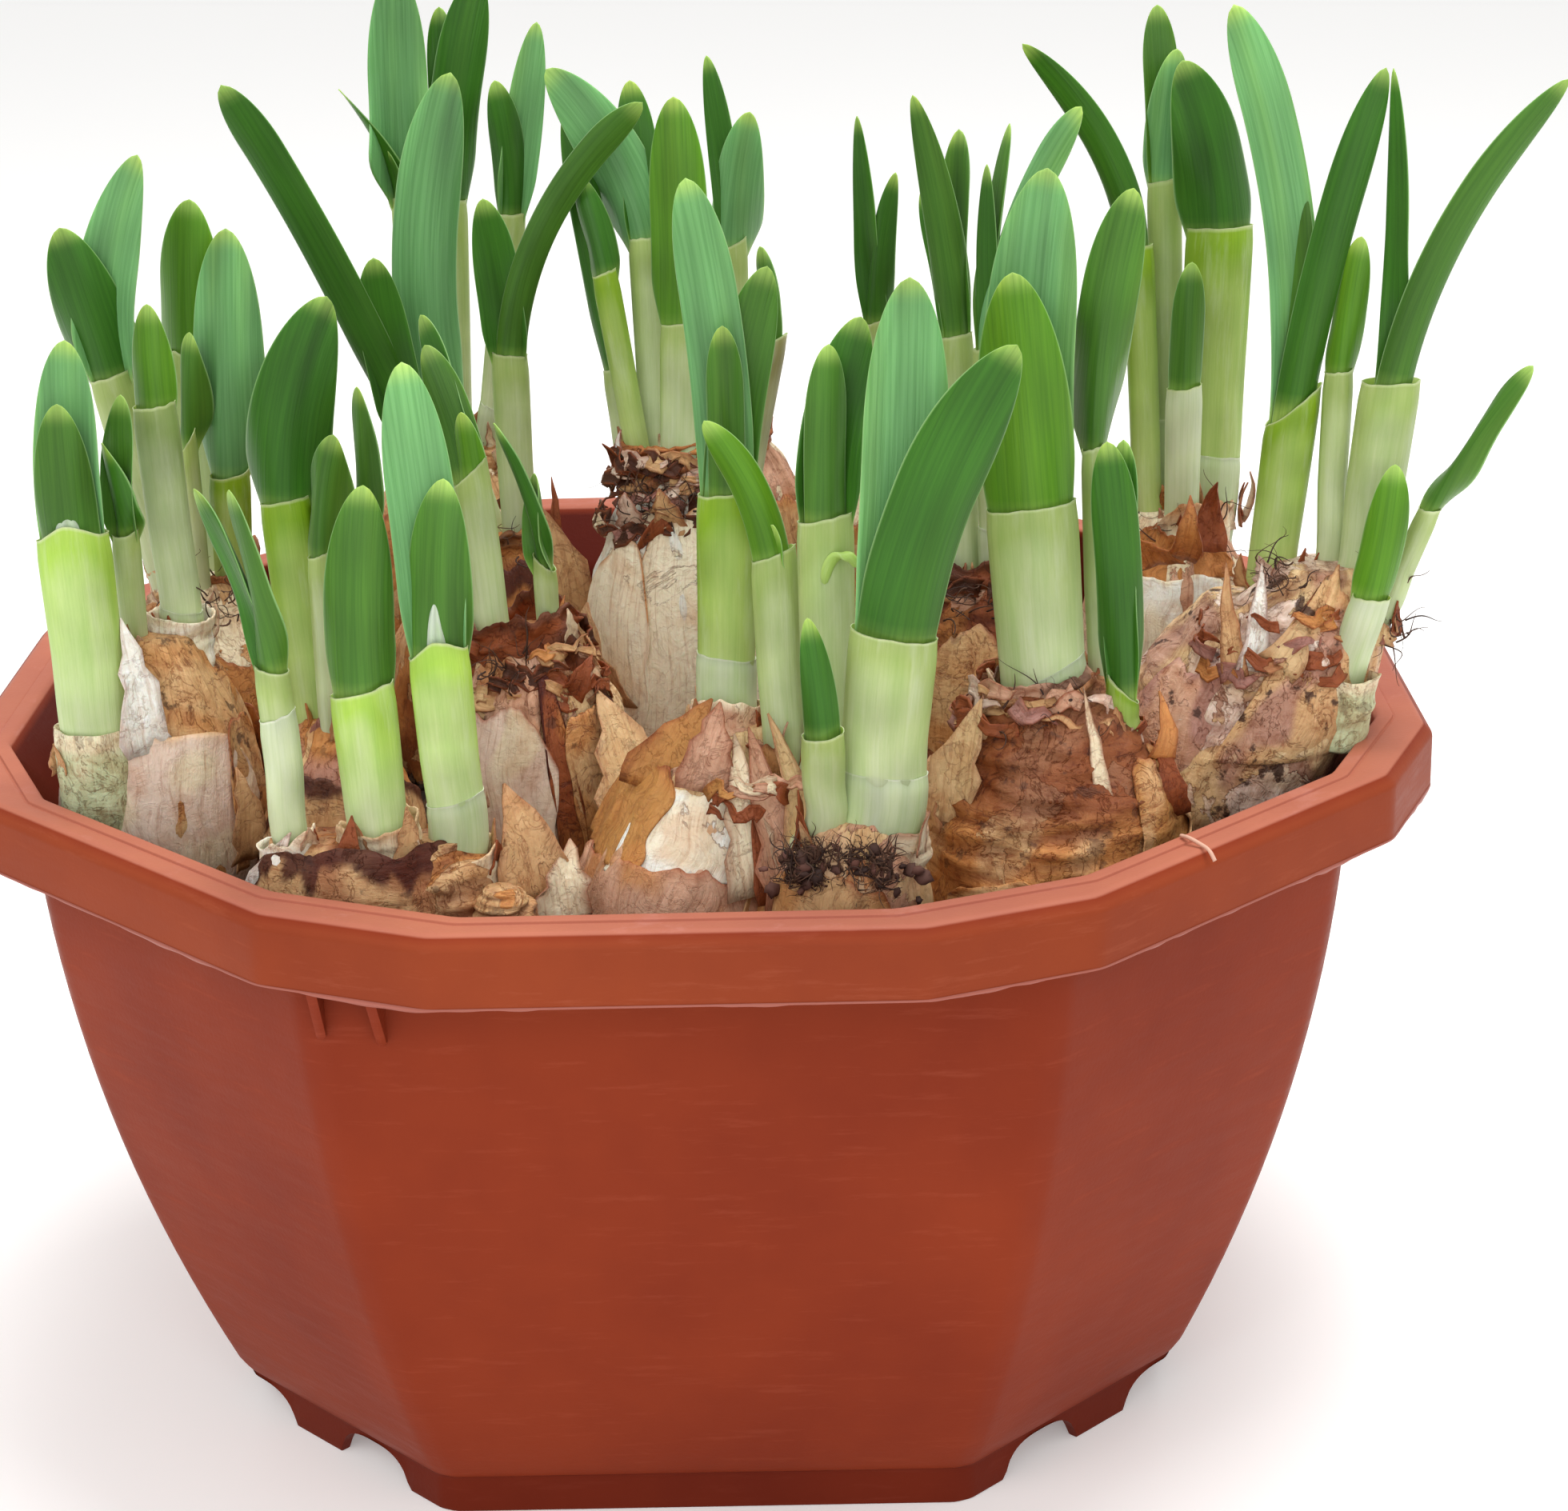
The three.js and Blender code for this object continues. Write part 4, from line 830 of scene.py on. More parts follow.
# The sheaths: each shoot rises in a pale tube of one or two bladeless leaves, thin-walled, with fine parallel
# veins and a crisp, slightly slanted upper edge. An older, whiter collar wraps the foot of some of them.
# A row is: where the shoot leaves the neck, where the sheath ends, its width, its colour, how far up
# the collar reaches, the slant of its edge and the height of a point at its front.
SHOOTS = {
    "left": [
        ((-95.3, -57, 128), (-96.2, -58, 164), 11.8, "fresh", 0.0, 0.5, 2.5),
        ((-90, -46, 141), (-89, -52, 163), 4.6, "pale", 0.0, 0.5, 0),
        ((-83, -42, 144), (-84, -45, 182), 7.2, "dull", 0.08, 0.4, 0),
    ],
    "left_rear": [
        ((-93, 3, 138), (-100, 0, 177), 7.5, "pale", 0.0, 0.4, 0),
        ((-88, 10, 136), (-88, 12, 178), 7.3, "pale", 0.3, -0.5, 0),
        ((-82, 4, 137), (-80, -3, 160), 7.2, "lime", 0.0, 1.0, 0),
        ((-87, 0, 136), (-86, -9, 167), 3.8, "pale", 0.0, 2.5, 0),
    ],
    "left_inner": [
        ((-61, -50, 129), (-64, -46, 166), 8.5, "lime", 0.0, 0.3, 0),
        ((-58, -54, 130), (-58, -54, 159), 3.8, "pale", 0.0, 0.5, 0),
        ((-54, -47, 131), (-52, -42, 160), 5.2, "pale", 0.0, 0.5, 0),
    ],
    "front_left": [
        ((-46, -92, 126), (-47, -93, 149), 9.9, "fresh", 0.0, 1.0, 0),
        ((-59, -92, 123), (-60, -95, 153), 5.4, "pale", 0.75, -0.6, 0),
        ((-34, -92, 123), (-35, -95, 155), 9.3, "fresh", 0.27, 0.8, 2.8),
    ],
    "centre_left": [
        ((-32, -36, 137), (-35, -34, 167), 6.4, "pale", 0.0, 2.2, 0),
        ((-23, -38, 139), (-23, -40, 153), 4, "pale", 0.0, -1.5, 0),
    ],
    "front": [
        ((7, -68, 135), (8, -66, 171), 9.6, "lime", 0.28, 0.4, 0),
        ((16, -76, 128), (15, -73, 163), 7.2, "pale", 0.0, 1.2, 0),
        ((22, -94, 126), (22, -98, 142), 6.7, "pale", 0.0, 0.5, 0),
        ((30, -92, 125), (33, -93, 156), 13.4, "pale", 0.3, -0.5, 0),
        ((23, -80, 132), (23, -78, 170), 8.8, "pale", 0.0, 0.8, 0),
    ],
    "front_right": [
        ((57, -68, 137), (55, -66, 168), 14.4, "pale", 0.14, 0.3, 0),
        ((66, -64, 134), (65, -62, 176), 3.8, "pale", 0.0, 0.5, 0),
        ((69, -72, 131), (69, -73, 140), 5.5, "lime", 0.0, -2.5, 0),
    ],
    "centre": [
        ((-9, 2, 160), (-14, 5, 192), 4.6, "lime", 0.0, 0.4, 0),
        ((-2, -2, 156), (-1, 0, 184), 6.8, "pale", 0.2, 0.4, 0),
        ((-6, 6, 160), (-7, 10, 197), 5.8, "pale", 0.0, 0.3, 0),
        ((8, 4, 150), (14, 6, 179), 6.7, "olive", 0.0, 2.0, 0),
        ((-11, 9, 157), (-13, 11, 174), 5, "pale", 0.0, 0.5, 0),
    ],
    "rear_left_inner": [
        ((-32, 16, 139), (-32, 15, 176), 6.8, "pale", 0.0, -0.4, 0),
        ((-39, 21, 140), (-45, 19, 164), 9.5, "pale", 0.0, 0.5, 0),
        ((-43, 14, 141), (-50, 12, 163), 6.3, "pale", 0.0, 0.5, 0),
    ],
    "rear_left": [
        ((-54, 62, 146), (-55, 64, 196), 4.6, "pale", 0.0, 0.3, 0),
        ((-48, 66, 146), (-47, 68, 194), 7.6, "pale", 0.0, 0.4, 0),
        ((-41, 62, 147), (-34, 60, 193), 5.4, "pale", 0.2, 0.4, 0),
    ],
    "rear": [((7, 64, 148), (7, 66, 185), 6, "pale", 0.0, 1.5, 0)],
    "centre_right": [
        ((47, -20, 142), (46, -15, 184), 5.6, "pale", 0.0, 0.4, 0),
        ((52, -22, 142), (51, -20, 183), 5.4, "pale", 0.25, 0.4, 0),
    ],
    "rear_right": [((36, 58, 146), (34, 56, 172), 5.6, "pale", 0.0, 0.6, 0)],
    "right_rear": [
        ((82, 18, 142), (80, 23, 191), 5.7, "lime", 0.0, 0.4, 0),
        ((86, 22, 142), (85, 28, 202), 6.3, "pale", 0.3, 0.4, 0),
        ((92, 17, 145), (94, 20, 195), 11.9, "lime", 0.2, 0.4, 0),
        ((87, 10, 141), (87, 8, 169), 6.5, "white", 0.0, 0.4, 0),
    ],
    "right": [
        ((98, -28, 146), (101, -28, 174), 8.7, "lime", 0.0, 4.0, 0),
        ((107, -30, 144), (108, -30, 180), 5, "pale", 0.0, 0.3, 0),
        ((112, -34, 144), (116, -34, 179), 9.9, "pale", 0.0, 0.6, 0),
        ((107, -43, 127), (112, -46, 146), 6.5, "white", 0.0, 0.5, 0),
        ((115, -39, 140), (122, -40, 159), 3.8, "pale", 0.0, 0.5, 0),
    ],
}
# The growing plate of each bulb, from which its shoots rise.
HEARTS = {
    "left": (-88, -43, 110),
    "left_rear": (-86, 7, 110),
    "left_inner": (-57, -50, 106),
    "front_left": (-44, -88, 103),
    "centre_left": (-24, -36, 110),
    "front": (10, -80, 107),
    "front_right": (58, -69, 110),
    "centre": (-3, 3, 122),
    "rear_left_inner": (-38, 19, 112),
    "rear_left": (-48, 64, 118),
    "rear": (4, 64, 118),
    "centre_right": (48, -20, 112),
    "rear_right": (39, 60, 114),
    "right_rear": (86, 16, 112),
    "right": (95, -35, 118),
}
# Colours of a sheath at its foot and under its edge, by the kind of its row.
SHEATH_FOOT, SHEATH_LIME_FOOT = "#d0dab3", "#bccb84"
SHEATH_TOPS = {
    "pale": "#a2b56a", "lime": "#80a31c", "fresh": "#a8cd50", "white": "#c6d1ab", "olive": "#8c8655",
    "dull": "#86995a"}
SHEATH_LIP, SHEATH_INSIDE, SHEATH_CLEAR = "#cfdba4", "#84a544", "#dfe6d2"
SHEATH_COLLAR, COLLAR_LIP, GLASSY_GREY, CURL_LIME = "#c6d3a8", "#e9efd2", "#c3d0bb", "#a9c765"
# What the tissue's colour is multiplied by along its veins and where it is clear.
TISSUE_VEINED, TISSUE_CLEAR = (0.62, 0.74, 0.42, 1), (0.66, 0.82, 0.5, 1)
SHEATH_WALL, SHEATH_AROUND, SHEATH_LEVELS = 0.32, 40, 26
# How much a bulb's collars slant, where that isn't half a millimetre down to the right.
COLLAR_SLANTS, COLLAR_SLANT = {"front_right": 3.0, "front_left": 0.9}, -0.5
# The glassy tip of an outer sheath that shows at its mouth: the shoot's number, the tip's breadth and height.
GLASSY_TIPS = {"left": (0, 4.6, 4.2), "front_left": (2, 3.2, 7.4)}
# The small curl of a young sheath beside the front bulb's second nose, by points along it.
CURL = [(23, -80, 155), (22.8, -81, 161), (24.2, -81.5, 164.4), (26.6, -82, 164.6), (27.6, -82, 163)]
CURL_RADIUS = 0.95


def spline(points, count):
    """A smooth line through points.

    It has cubic pieces whose slope at a point is half the step between its neighbours.
    """
    points = np.asarray(points, float)
    ends = np.concatenate([[2 * points[0] - points[1]], points, [2 * points[-1] - points[-2]]])
    where = np.linspace(0, len(points) - 1, count)
    part = np.minimum(where.astype(int), len(points) - 2)
    t = (where - part)[:, None]
    a, b, c, d = (ends[part + k] for k in range(4))
    return 0.5 * (2 * b + (c - a) * t + (2 * a - 5 * b + 4 * c - d) * t**2 + (3 * b - a - 3 * c + d) * t**3)


def across(path, turn=0.0):
    """Along, sideways and through directions of a path.

    Sideways is +X less its part along the path, turned about the path by an angle.
    """
    along = np.gradient(path, axis=0)
    along /= np.linalg.norm(along, axis=-1, keepdims=True)
    wide = np.array([1.0, 0, 0]) - along * along[:, :1]
    wide /= np.linalg.norm(wide, axis=-1, keepdims=True)
    through = np.cross(along, wide)
    turn = np.broadcast_to(turn, len(path))[:, None]
    return along, wide * np.cos(turn) + through * np.sin(turn), through * np.cos(turn) - wide * np.sin(turn)


def sheath_halves(width):
    """Half width and half thickness of a sheath at its mouth."""
    half = max(width / 2, 1.9)
    return half, max(half * 0.68, 2.2)


def tube_rings(heart, shoot, low, high, grow, seed, colours):
    """A thin-walled oval tube along a shoot, from a share of its height to another.

    Its rings go up the outside, over the lip and down the inside. Near the top each point moves along the
    tube by the edge's slant, its front point and a fine waviness, all growing with the square of the height.
    """
    neck, mouth, width, _, _, slant, peak = shoot
    heart, neck, mouth = (np.array(point, float) for point in (heart, neck, mouth))
    path = spline([heart * 0.5 + neck * 0.5, neck, blend(neck, mouth, 0.5), mouth], 121)
    length = np.linalg.norm(mouth - neck)
    half_wide, half_thick = sheath_halves(width)
    angle = (np.arange(SHEATH_AROUND) + 0.5) * 2 * np.pi / SHEATH_AROUND
    outside = 1 - (1 - np.linspace(0, 1, SHEATH_LEVELS)) ** 1.8
    climb = np.concatenate([outside, [1.002, 1.002], np.linspace(1, 0.72, 7)])
    inset = np.concatenate([0 * outside, [0.1, SHEATH_WALL - 0.1], np.full(7, SHEATH_WALL)]) - grow
    inset[:SHEATH_LEVELS] += 0.2 * smooth(outside * length / 2.5 - length / 2.5 + 1)
    share = low + (high - low) * climb
    station = np.clip(share * 120, 0, 120)
    below = np.minimum(station.astype(int), 119)
    step = (station - below)[:, None]
    along, wide, through = across(path)
    carried = (path, along, wide, through)
    centre, along, wide, through = (v[below] * (1 - step) + v[below + 1] * step for v in carried)
    taper = 0.93 + 0.07 * smooth(share * 1.4 - 0.4)
    sideways = (half_wide * taper - inset)[:, None] * np.cos(angle)
    depth = (half_thick * taper - inset)[:, None] * np.sin(angle)
    ring_spot = np.stack([10 * np.cos(angle), 10 * np.sin(angle), 0 * angle + seed], -1)
    fold = 1 + 0.02 * ripple(ring_spot, 7, seed) * smooth(share * 2)[:, None]
    front = np.exp(-(((angle - 1.5 * np.pi) / 0.75) ** 2))
    edge = slant * np.cos(angle) + peak * front + 0.09 * ripple(ring_spot, 6, seed + 1)
    rise = edge * np.clip((climb[:, None] - 0.55) / 0.45, 0, 1) ** 2
    rings = centre[:, None] + wide[:, None] * (sideways * fold)[..., None]
    rings = rings + through[:, None] * (depth * fold)[..., None] + along[:, None] * rise[..., None]
    foot, top, lip, inside = (linear(c) for c in colours)
    beside = 0.5 + 0.5 * np.cos(2 * angle + ripple(ring_spot, 14, seed + 4))
    height = smooth(climb * 1.4 - 0.25)[:, None] * (0.62 + 0.38 * beside)
    height = np.clip(height + 0.5 * smooth(climb * 6 - 5)[:, None], 0, 1)
    tint = blend(foot, top, height)
    tint = blend(tint, lip, np.clip(climb * length * 3 - length * 3 + 1, 0, 1)[:, None] + 0 * height)
    tint[SHEATH_LEVELS + 2 :] = inside
    mottle = 1 + 0.07 * ripple(rings, 8, seed + 2)
    straight = np.stack([half_wide * np.cos(angle) + 0 * rise, half_wide * np.sin(angle) + 0 * rise,
                         (share * length)[:, None] + rise], -1)
    return rings[None], {"tint": (tint * mottle[..., None])[None], "straight": straight[None]}


def glassy_rings(shoot, breadth, height):
    """The colourless tip of a sheath: a flattened pointed hood that stands just inside the mouth's front."""
    neck, mouth, width = (np.array(v, float) for v in shoot[:3])
    half_thick = sheath_halves(float(width))[1]
    upper = [mouth, mouth + [0, 0, height * 0.5], mouth + [0.3, 0.4, height]]
    path = spline([mouth - (mouth - neck) * 0.12, *upper], 25)
    _, wide, through = across(path)
    path = path + [0, 1.35 - half_thick, shoot[6] - 0.6]
    t = np.linspace(0, 1, 25)[:, None]
    angle = np.arange(24) * np.pi / 12
    half = breadth / 2 * np.clip(1 - t**1.7, 0.004, 1) ** 0.9
    rings = path[:, None] + wide[:, None] * (half * np.cos(angle))[..., None]
    rings = rings + through[:, None] * (0.42 * half * np.sin(angle))[..., None]
    tint = linear(GLASSY_GREY) * (1 - 0.25 * np.sin(9 * angle)[None, :, None] ** 2) + 0 * rings
    straight = np.stack([half * np.cos(angle), half * np.sin(angle), t * height + 0 * half * angle], -1)
    return rings[None], {"tint": tint[None], "straight": straight[None]}


def curl_rings():
    """The yellow-green curl that bends over: an oval tube along its points, which ends in a dome."""
    path = spline(CURL, 41)
    _, wide, through = across(path)
    angle = np.arange(12) * np.pi / 6
    radius = CURL_RADIUS * np.sqrt(np.clip(1 - np.linspace(0, 1, 41)[:, None] ** 6, 0.02, 1))
    rings = path[:, None] + wide[:, None] * (radius * np.cos(angle))[..., None]
    rings = rings + through[:, None] * (0.6 * radius * np.sin(angle))[..., None]
    level = 0 * rings[..., 0]
    straight = np.stack([np.cos(angle) + level, np.sin(angle) + level, rings[..., 2]], -1)
    return rings[None], {"tint": (linear(CURL_LIME) + 0 * rings)[None], "straight": straight[None]}


def sheath_parts(name, number):
    """All the tubes of one bulb: every shoot's sheath, and its collar where it has one."""
    parts = []
    for i, shoot in enumerate(SHOOTS[name]):
        seed = 1000 + 40 * number + 5 * i
        foot = SHEATH_LIME_FOOT if shoot[3] == "lime" else SHEATH_FOOT
        colours = (foot, SHEATH_TOPS[shoot[3]], SHEATH_LIP, SHEATH_INSIDE)
        parts.append(tube_rings(HEARTS[name], shoot, 0.0, 1.0, 0, seed, colours))
        if shoot[4]:
            plain = (*shoot[:5], COLLAR_SLANTS.get(name, COLLAR_SLANT), 0)
            reach = 1 / 3 + shoot[4] * 2 / 3
            colours = (SHEATH_COLLAR, SHEATH_COLLAR, COLLAR_LIP, SHEATH_COLLAR)
            parts.append(tube_rings(HEARTS[name], plain, 0.0, reach, 0.3, seed + 3, colours))
    if name == "front":
        parts.append(curl_rings())
    if name in GLASSY_TIPS:
        which, breadth, height = GLASSY_TIPS[name]
        parts.append(glassy_rings(SHOOTS[name][which], breadth, height))
    return parts


# Sheath tissue: moist, thin and slightly see-through, with parallel veins under half a millimetre apart,
# satin like a spring onion.
tissue, tree = new_material("moist_sheath_tissue", {
    "Roughness": 0.42, "IOR": 1.4, "Subsurface Weight": 0.25, "Subsurface Scale": 0.0015,
    "Subsurface Radius": (1.0, 1.0, 0.5)})
tint = add(tree, "ShaderNodeAttribute", {}, "Color", attribute_name="tint")
straight = add(tree, "ShaderNodeAttribute", {}, "Vector", attribute_name="straight")
vein_spot = add(tree, "ShaderNodeMapping", {"Vector": straight, "Scale": (1, 1, 0.025)}, 0)
veins = add(tree, "ShaderNodeTexNoise", {"Vector": vein_spot, "Scale": 2.6, "Detail": 4.0, "Roughness": 0.65},
            "Fac")
vein_share = add(tree, "ShaderNodeMapRange", {0: veins, 1: 0.4, 2: 0.62, 3: 0.0, 4: 0.22}, 0)
colour = add(tree, "ShaderNodeMix", {0: vein_share, 6: tint, 7: TISSUE_VEINED}, 2, data_type="RGBA",
             blend_type="MULTIPLY")
# Watery patches, taller than wide, where the tissue is clearer and the leaf inside shows.
patch_spot = add(tree, "ShaderNodeMapping", {"Vector": straight, "Scale": (1, 1, 0.22)}, 0)
patches = add(tree, "ShaderNodeTexNoise", {"Vector": patch_spot, "Scale": 0.28, "Detail": 5.0,
                                           "Roughness": 0.62}, "Fac")
clear_share = add(tree, "ShaderNodeMapRange", {0: patches, 1: 0.46, 2: 0.68, 3: 0.0, 4: 0.5}, 0)
colour = add(tree, "ShaderNodeMix", {0: clear_share, 6: colour, 7: TISSUE_CLEAR}, 2, data_type="RGBA",
             blend_type="MULTIPLY")
white_share = add(tree, "ShaderNodeMapRange", {0: patches, 1: 0.32, 2: 0.46, 3: 0.18, 4: 0.0}, 0)
colour = add(tree, "ShaderNodeMix", {0: white_share, 6: colour, 7: (*linear(SHEATH_CLEAR), 1)}, 2,
             data_type="RGBA")
feed(tree, "Base Color", colour)
feed(tree, "Normal", add(tree, "ShaderNodeBump", {"Height": veins, "Strength": 0.25, "Distance": 0.0003}, 0))

for number, name in enumerate(SHOOTS):
    piece(name + "_sheaths", sheath_parts(name, number), tissue, ["sheaths_" + name])

# The torn necks: where the shoots break out, the dry skins stand up round them in ragged strips and sleeves,
# with dark fibres. They are loose only at their tips, and hold to the bulb below.
# A sleeve is: the middle of its foot, of its waist and of its torn edge, its half width and half depth, how
# far it flares, how ragged the edge and how deep the cross folds are, its colour and its edge's colour.
SLEEVES = {
    "left": [
        (((-95, -54.5, 106), (-95.4, -56.6, 119), (-95.6, -57, 132)), 7.0, 5.8, -0.1, 0.15, 0.15, "veil",
         "cream"),
        (((-83, -43, 136), (-83, -42.5, 142), (-83, -43, 146.5)), 5.0, 4.2, 0.14, 1.0, 0.2, "white", "cream"),
    ],
    "left_rear": [(((-88, 7, 130), (-88, 7, 137), (-88, 7, 143)), 9.5, 8, 0.1, 2.2, 0.3, "tan", "rust")],
    "front_left": [
        (((-46, -92, 118), (-46, -92, 123), (-46, -92.5, 127)), 6.0, 4.6, 0.1, 1.3, 0.5, "cream", "tan"),
        (((-59, -92, 114), (-59.8, -92.5, 120), (-60, -93, 125.5)), 4.2, 4, 0.12, 1.6, 0.2, "white", "cream"),
        (((-34, -92, 115), (-34, -92, 119), (-34, -92.5, 123)), 5.8, 4.4, 0.05, 0.8, 0.3, "cream", "tan"),
    ],
    "centre_left": [
        (((-27, -36, 131), (-27, -36, 138), (-28, -36, 143)), 9.5, 7.5, 0.0, 2.0, 1.2, "rust", "dark"),
    ],
    "front": [
        (((6.5, -70, 128), (7, -69, 134), (7, -68.5, 138)), 6.0, 5.2, 0.0, 0.8, 0.3, "pink", "cream"),
        (((30, -90, 118), (30.5, -91, 122), (31, -91.5, 125.5)), 7.4, 5.4, 0.0, 0.8, 0.5, "cream", "rust"),
    ],
    "front_right": [
        (((58, -68, 129), (57.5, -68, 135), (57, -68, 140)), 10.5, 8.6, -0.12, 0.8, 1.7, "tan", "rust"),
        (((57, -68, 134), (56.8, -68, 138), (56.5, -68, 141.5)), 8.8, 6.8, -0.1, 1.0, 1.0, "pink", "dark"),
    ],
    "centre": [
        (((-3, 2, 146), (-3, 2, 153), (-4, 3, 160)), 9.6, 8.4, -0.1, 1.2, 1.6, "tan", "rust"),
        (((-3, 2, 150), (-3.5, 2, 157), (-4, 3, 163)), 8.0, 7.0, 0.0, 1.4, 1.4, "orange", "rust"),
    ],
    "rear_left_inner": [
        (((-37, 18, 134), (-37, 18, 140), (-37, 18, 146)), 10, 8.5, 0.05, 2.2, 0.8, "orange", "dark"),
    ],
    "rear_left": [(((-48, 64, 138), (-48, 64, 145), (-48, 64, 151)), 10, 8.5, 0.05, 2.0, 0.7, "tan", "rust")],
    "rear": [(((5, 64, 140), (6, 64, 147), (7, 64, 152)), 7, 6.5, 0.05, 1.8, 0.7, "orange", "rust")],
    "centre_right": [
        (((48.5, -20, 130), (49, -20, 137), (49, -20, 143)), 9.6, 7.8, -0.08, 1.0, 1.6, "tan", "dark"),
        (((49, -20, 134), (49, -20, 141), (49, -20, 147)), 8.0, 6.4, -0.05, 1.4, 1.2, "rust", "dark"),
    ],
    "rear_right": [(((37, 58, 138), (36.5, 58, 145), (36, 58, 150)), 7.5, 7, 0.05, 1.8, 0.7, "tan", "rust")],
    "right_rear": [
        (((87, 16, 135), (87, 16, 142), (87, 16, 147)), 9.5, 8.5, 0.05, 1.8, 0.4, "cream", "orange"),
    ],
    "right": [
        (((107, -43, 120), (108, -43.5, 126), (109, -44.5, 132)), 5.0, 4.3, 0.05, 0.5, 0.2, "veil", "cream"),
    ],
}
# A big torn strip: its foot, its tip, its breadth, how far it bows, the side it faces and its colour.
SHARDS = {
    "left": [
        ((-72, -56, 108), (-71, -58, 125), 6, 0.08, (0.5, -0.85, 0), "tan"),
        ((-86.5, -59.5, 128), (-90.2, -57.5, 150), 7, 0.05, (0.5, -0.9, 0.1), "white"),
    ],
    "front_left": [
        ((-22, -91, 113), (-26.5, -86, 131), 11, 0.1, (0.4, -0.9, 0.2), "tan"),
        ((-19, -93, 110), (-21, -89, 122), 9, 0.12, (0.4, -0.9, 0.2), "cream"),
        ((-66, -93, 112), (-61, -95, 128), 6, 0.06, (-0.4, -0.9, 0), "white"),
        ((-50, -98, 118), (-51, -97, 130), 5, 0.1, (-0.1, -1, 0.1), "rust"),
        ((-41, -98, 118), (-39, -97, 131), 5, -0.1, (0.1, -1, 0.1), "tan"),
    ],
    "centre_left": [
        ((-8, -54, 106), (-14, -41, 131), 19, 0.1, (0.7, -0.7, 0.2), "straw"),
        ((-5, -48, 106), (-9, -42, 124), 13, 0.08, (0.6, -0.8, 0.1), "straw"),
        ((-20, -44, 130), (-17, -42, 138), 4, 0.2, (0.3, -0.9, 0.3), "rust"),
    ],
    "front": [
        ((16, -94, 112), (8, -81, 137), 8, 0.08, (0.5, -0.8, 0.3), "pink"),
        ((11, -93, 114), (6, -81, 136), 7, 0.1, (0.2, -0.9, 0.3), "cream"),
        ((19, -91, 116), (12, -80, 139), 6, 0.08, (0.6, -0.7, 0.3), "straw"),
        ((13, -94, 113), (10, -82, 133), 3, 0.1, (0.3, -0.9, 0.3), "rust"),
        ((3, -84, 128), (8, -81, 141), 8, 0.08, (0, -0.95, 0.3), "pink"),
        ((-4, -79, 126), (4, -73, 140), 11, 0.1, (-0.4, -0.85, 0.3), "amber"),
    ],
    "front_right": [
        ((74, -76, 129), (75, -72, 139), 4, 0.2, (0.5, -0.85, 0), "orange"),
        ((66, -84, 121), (63, -78, 142), 2.6, 0.05, (0, -1, 0.2), "cream"),
        ((76, -76, 119), (73, -75, 131), 6, 0.2, (0.5, -0.8, 0.3), "rust"),
        ((40.5, -77, 120), (43.5, -72, 139), 9, 0.06, (-0.4, -0.9, 0.2), "straw"),
        ((38, -76, 118), (40, -72, 129), 5, 0.08, (-0.6, -0.8, 0.2), "tan"),
    ],
    "centre": [
        ((-11, -3, 155), (-15, -5, 164), 3, -0.2, (-0.4, -0.9, 0), "dark"),
        ((-9, -6, 149), (-12, -8, 156), 5, 0.2, (-0.5, -0.8, 0.3), "grey"),
        ((-3, -8, 149), (-5, -9, 157), 5, 0.15, (-0.2, -0.9, 0.3), "tan"),
        ((4, -7, 148), (3, -8, 155), 5, 0.2, (0.2, -0.9, 0.3), "grey"),
        ((-6, -7, 145), (-7, -9, 152), 7, 0.2, (0, -0.9, 0.3), "rust"),
        ((-16, -9, 118), (-20, -10, 137), 10, 0.1, (-0.5, -0.85, 0.1), "straw"),
    ],
    "rear_left_inner": [
        ((-25, 6, 140), (-24, 8, 155), 2.4, 0.12, (0.3, -0.9, 0), "rust"),
        ((-22, 4, 128), (-26, 6, 152), 10, 0.08, (0.4, -0.9, 0), "tan"),
    ],
    "right_rear": [
        ((86, -1, 140), (88, -3, 152), 5, 0.3, (0, -1, 0), "orange"),
        ((91, 0, 141), (93, -2, 154), 5, -0.3, (0.2, -0.95, 0), "rust"),
        ((82, -1, 139), (79, -3, 146), 8, 0.15, (-0.3, -0.9, 0.2), "orange"),
    ],
    "right": [
        ((90, -47, 132), (88, -39, 150), 3.6, 0.1, (-0.2, -0.9, 0), "tan"),
        ((92, -47, 134), (94, -39, 150), 4, 0.1, (0.2, -0.9, 0.2), "white"),
        ((97, -48, 134), (103, -45, 141), 6, 0.2, (0.1, -0.8, 0.5), "straw"),
    ],
}
# Crumpled ribbons that wrap a neck: its middle in plan, its half width and depth, the heights that they lie
# between, how many there are and their colours.
WRAPS = {
    "centre_left": (
        (-27, -36), (9.8, 8.6), (128.5, 141), 44, ("rust", "orange", "tan", "straw", "dark", "rust")),
    "centre": ((-3.5, 2), (9.6, 8.4), (147, 161), 60, ("mauve", "grey", "tan", "dark", "cream", "rust")),
    "front_right": ((57.5, -68), (11, 9), (131, 140), 36, ("mauve", "pink", "grey", "rust", "tan")),
    "centre_right": ((49, -20), (9.4, 7.8), (133, 146), 40, ("mauve", "grey", "rust", "dark", "cream")),
    "right": ((98, -37), (11.5, 9), (132, 142), 30, ("rust", "orange", "tan", "mauve", "rust")),
    "front": ((14, -84), (9, 7), (124, 133), 20, ("rust", "pink", "cream", "amber")),
}
SLEEVE_AROUND, SLEEVE_LEVELS, SLEEVE_WALL = 96, 24, 0.3
# How many small strips stand at a shoot's foot, and how far a ribbon swings, as a share of its length.
TATTERS_A_SHOOT, WRAP_WAVE = 5, 0.09


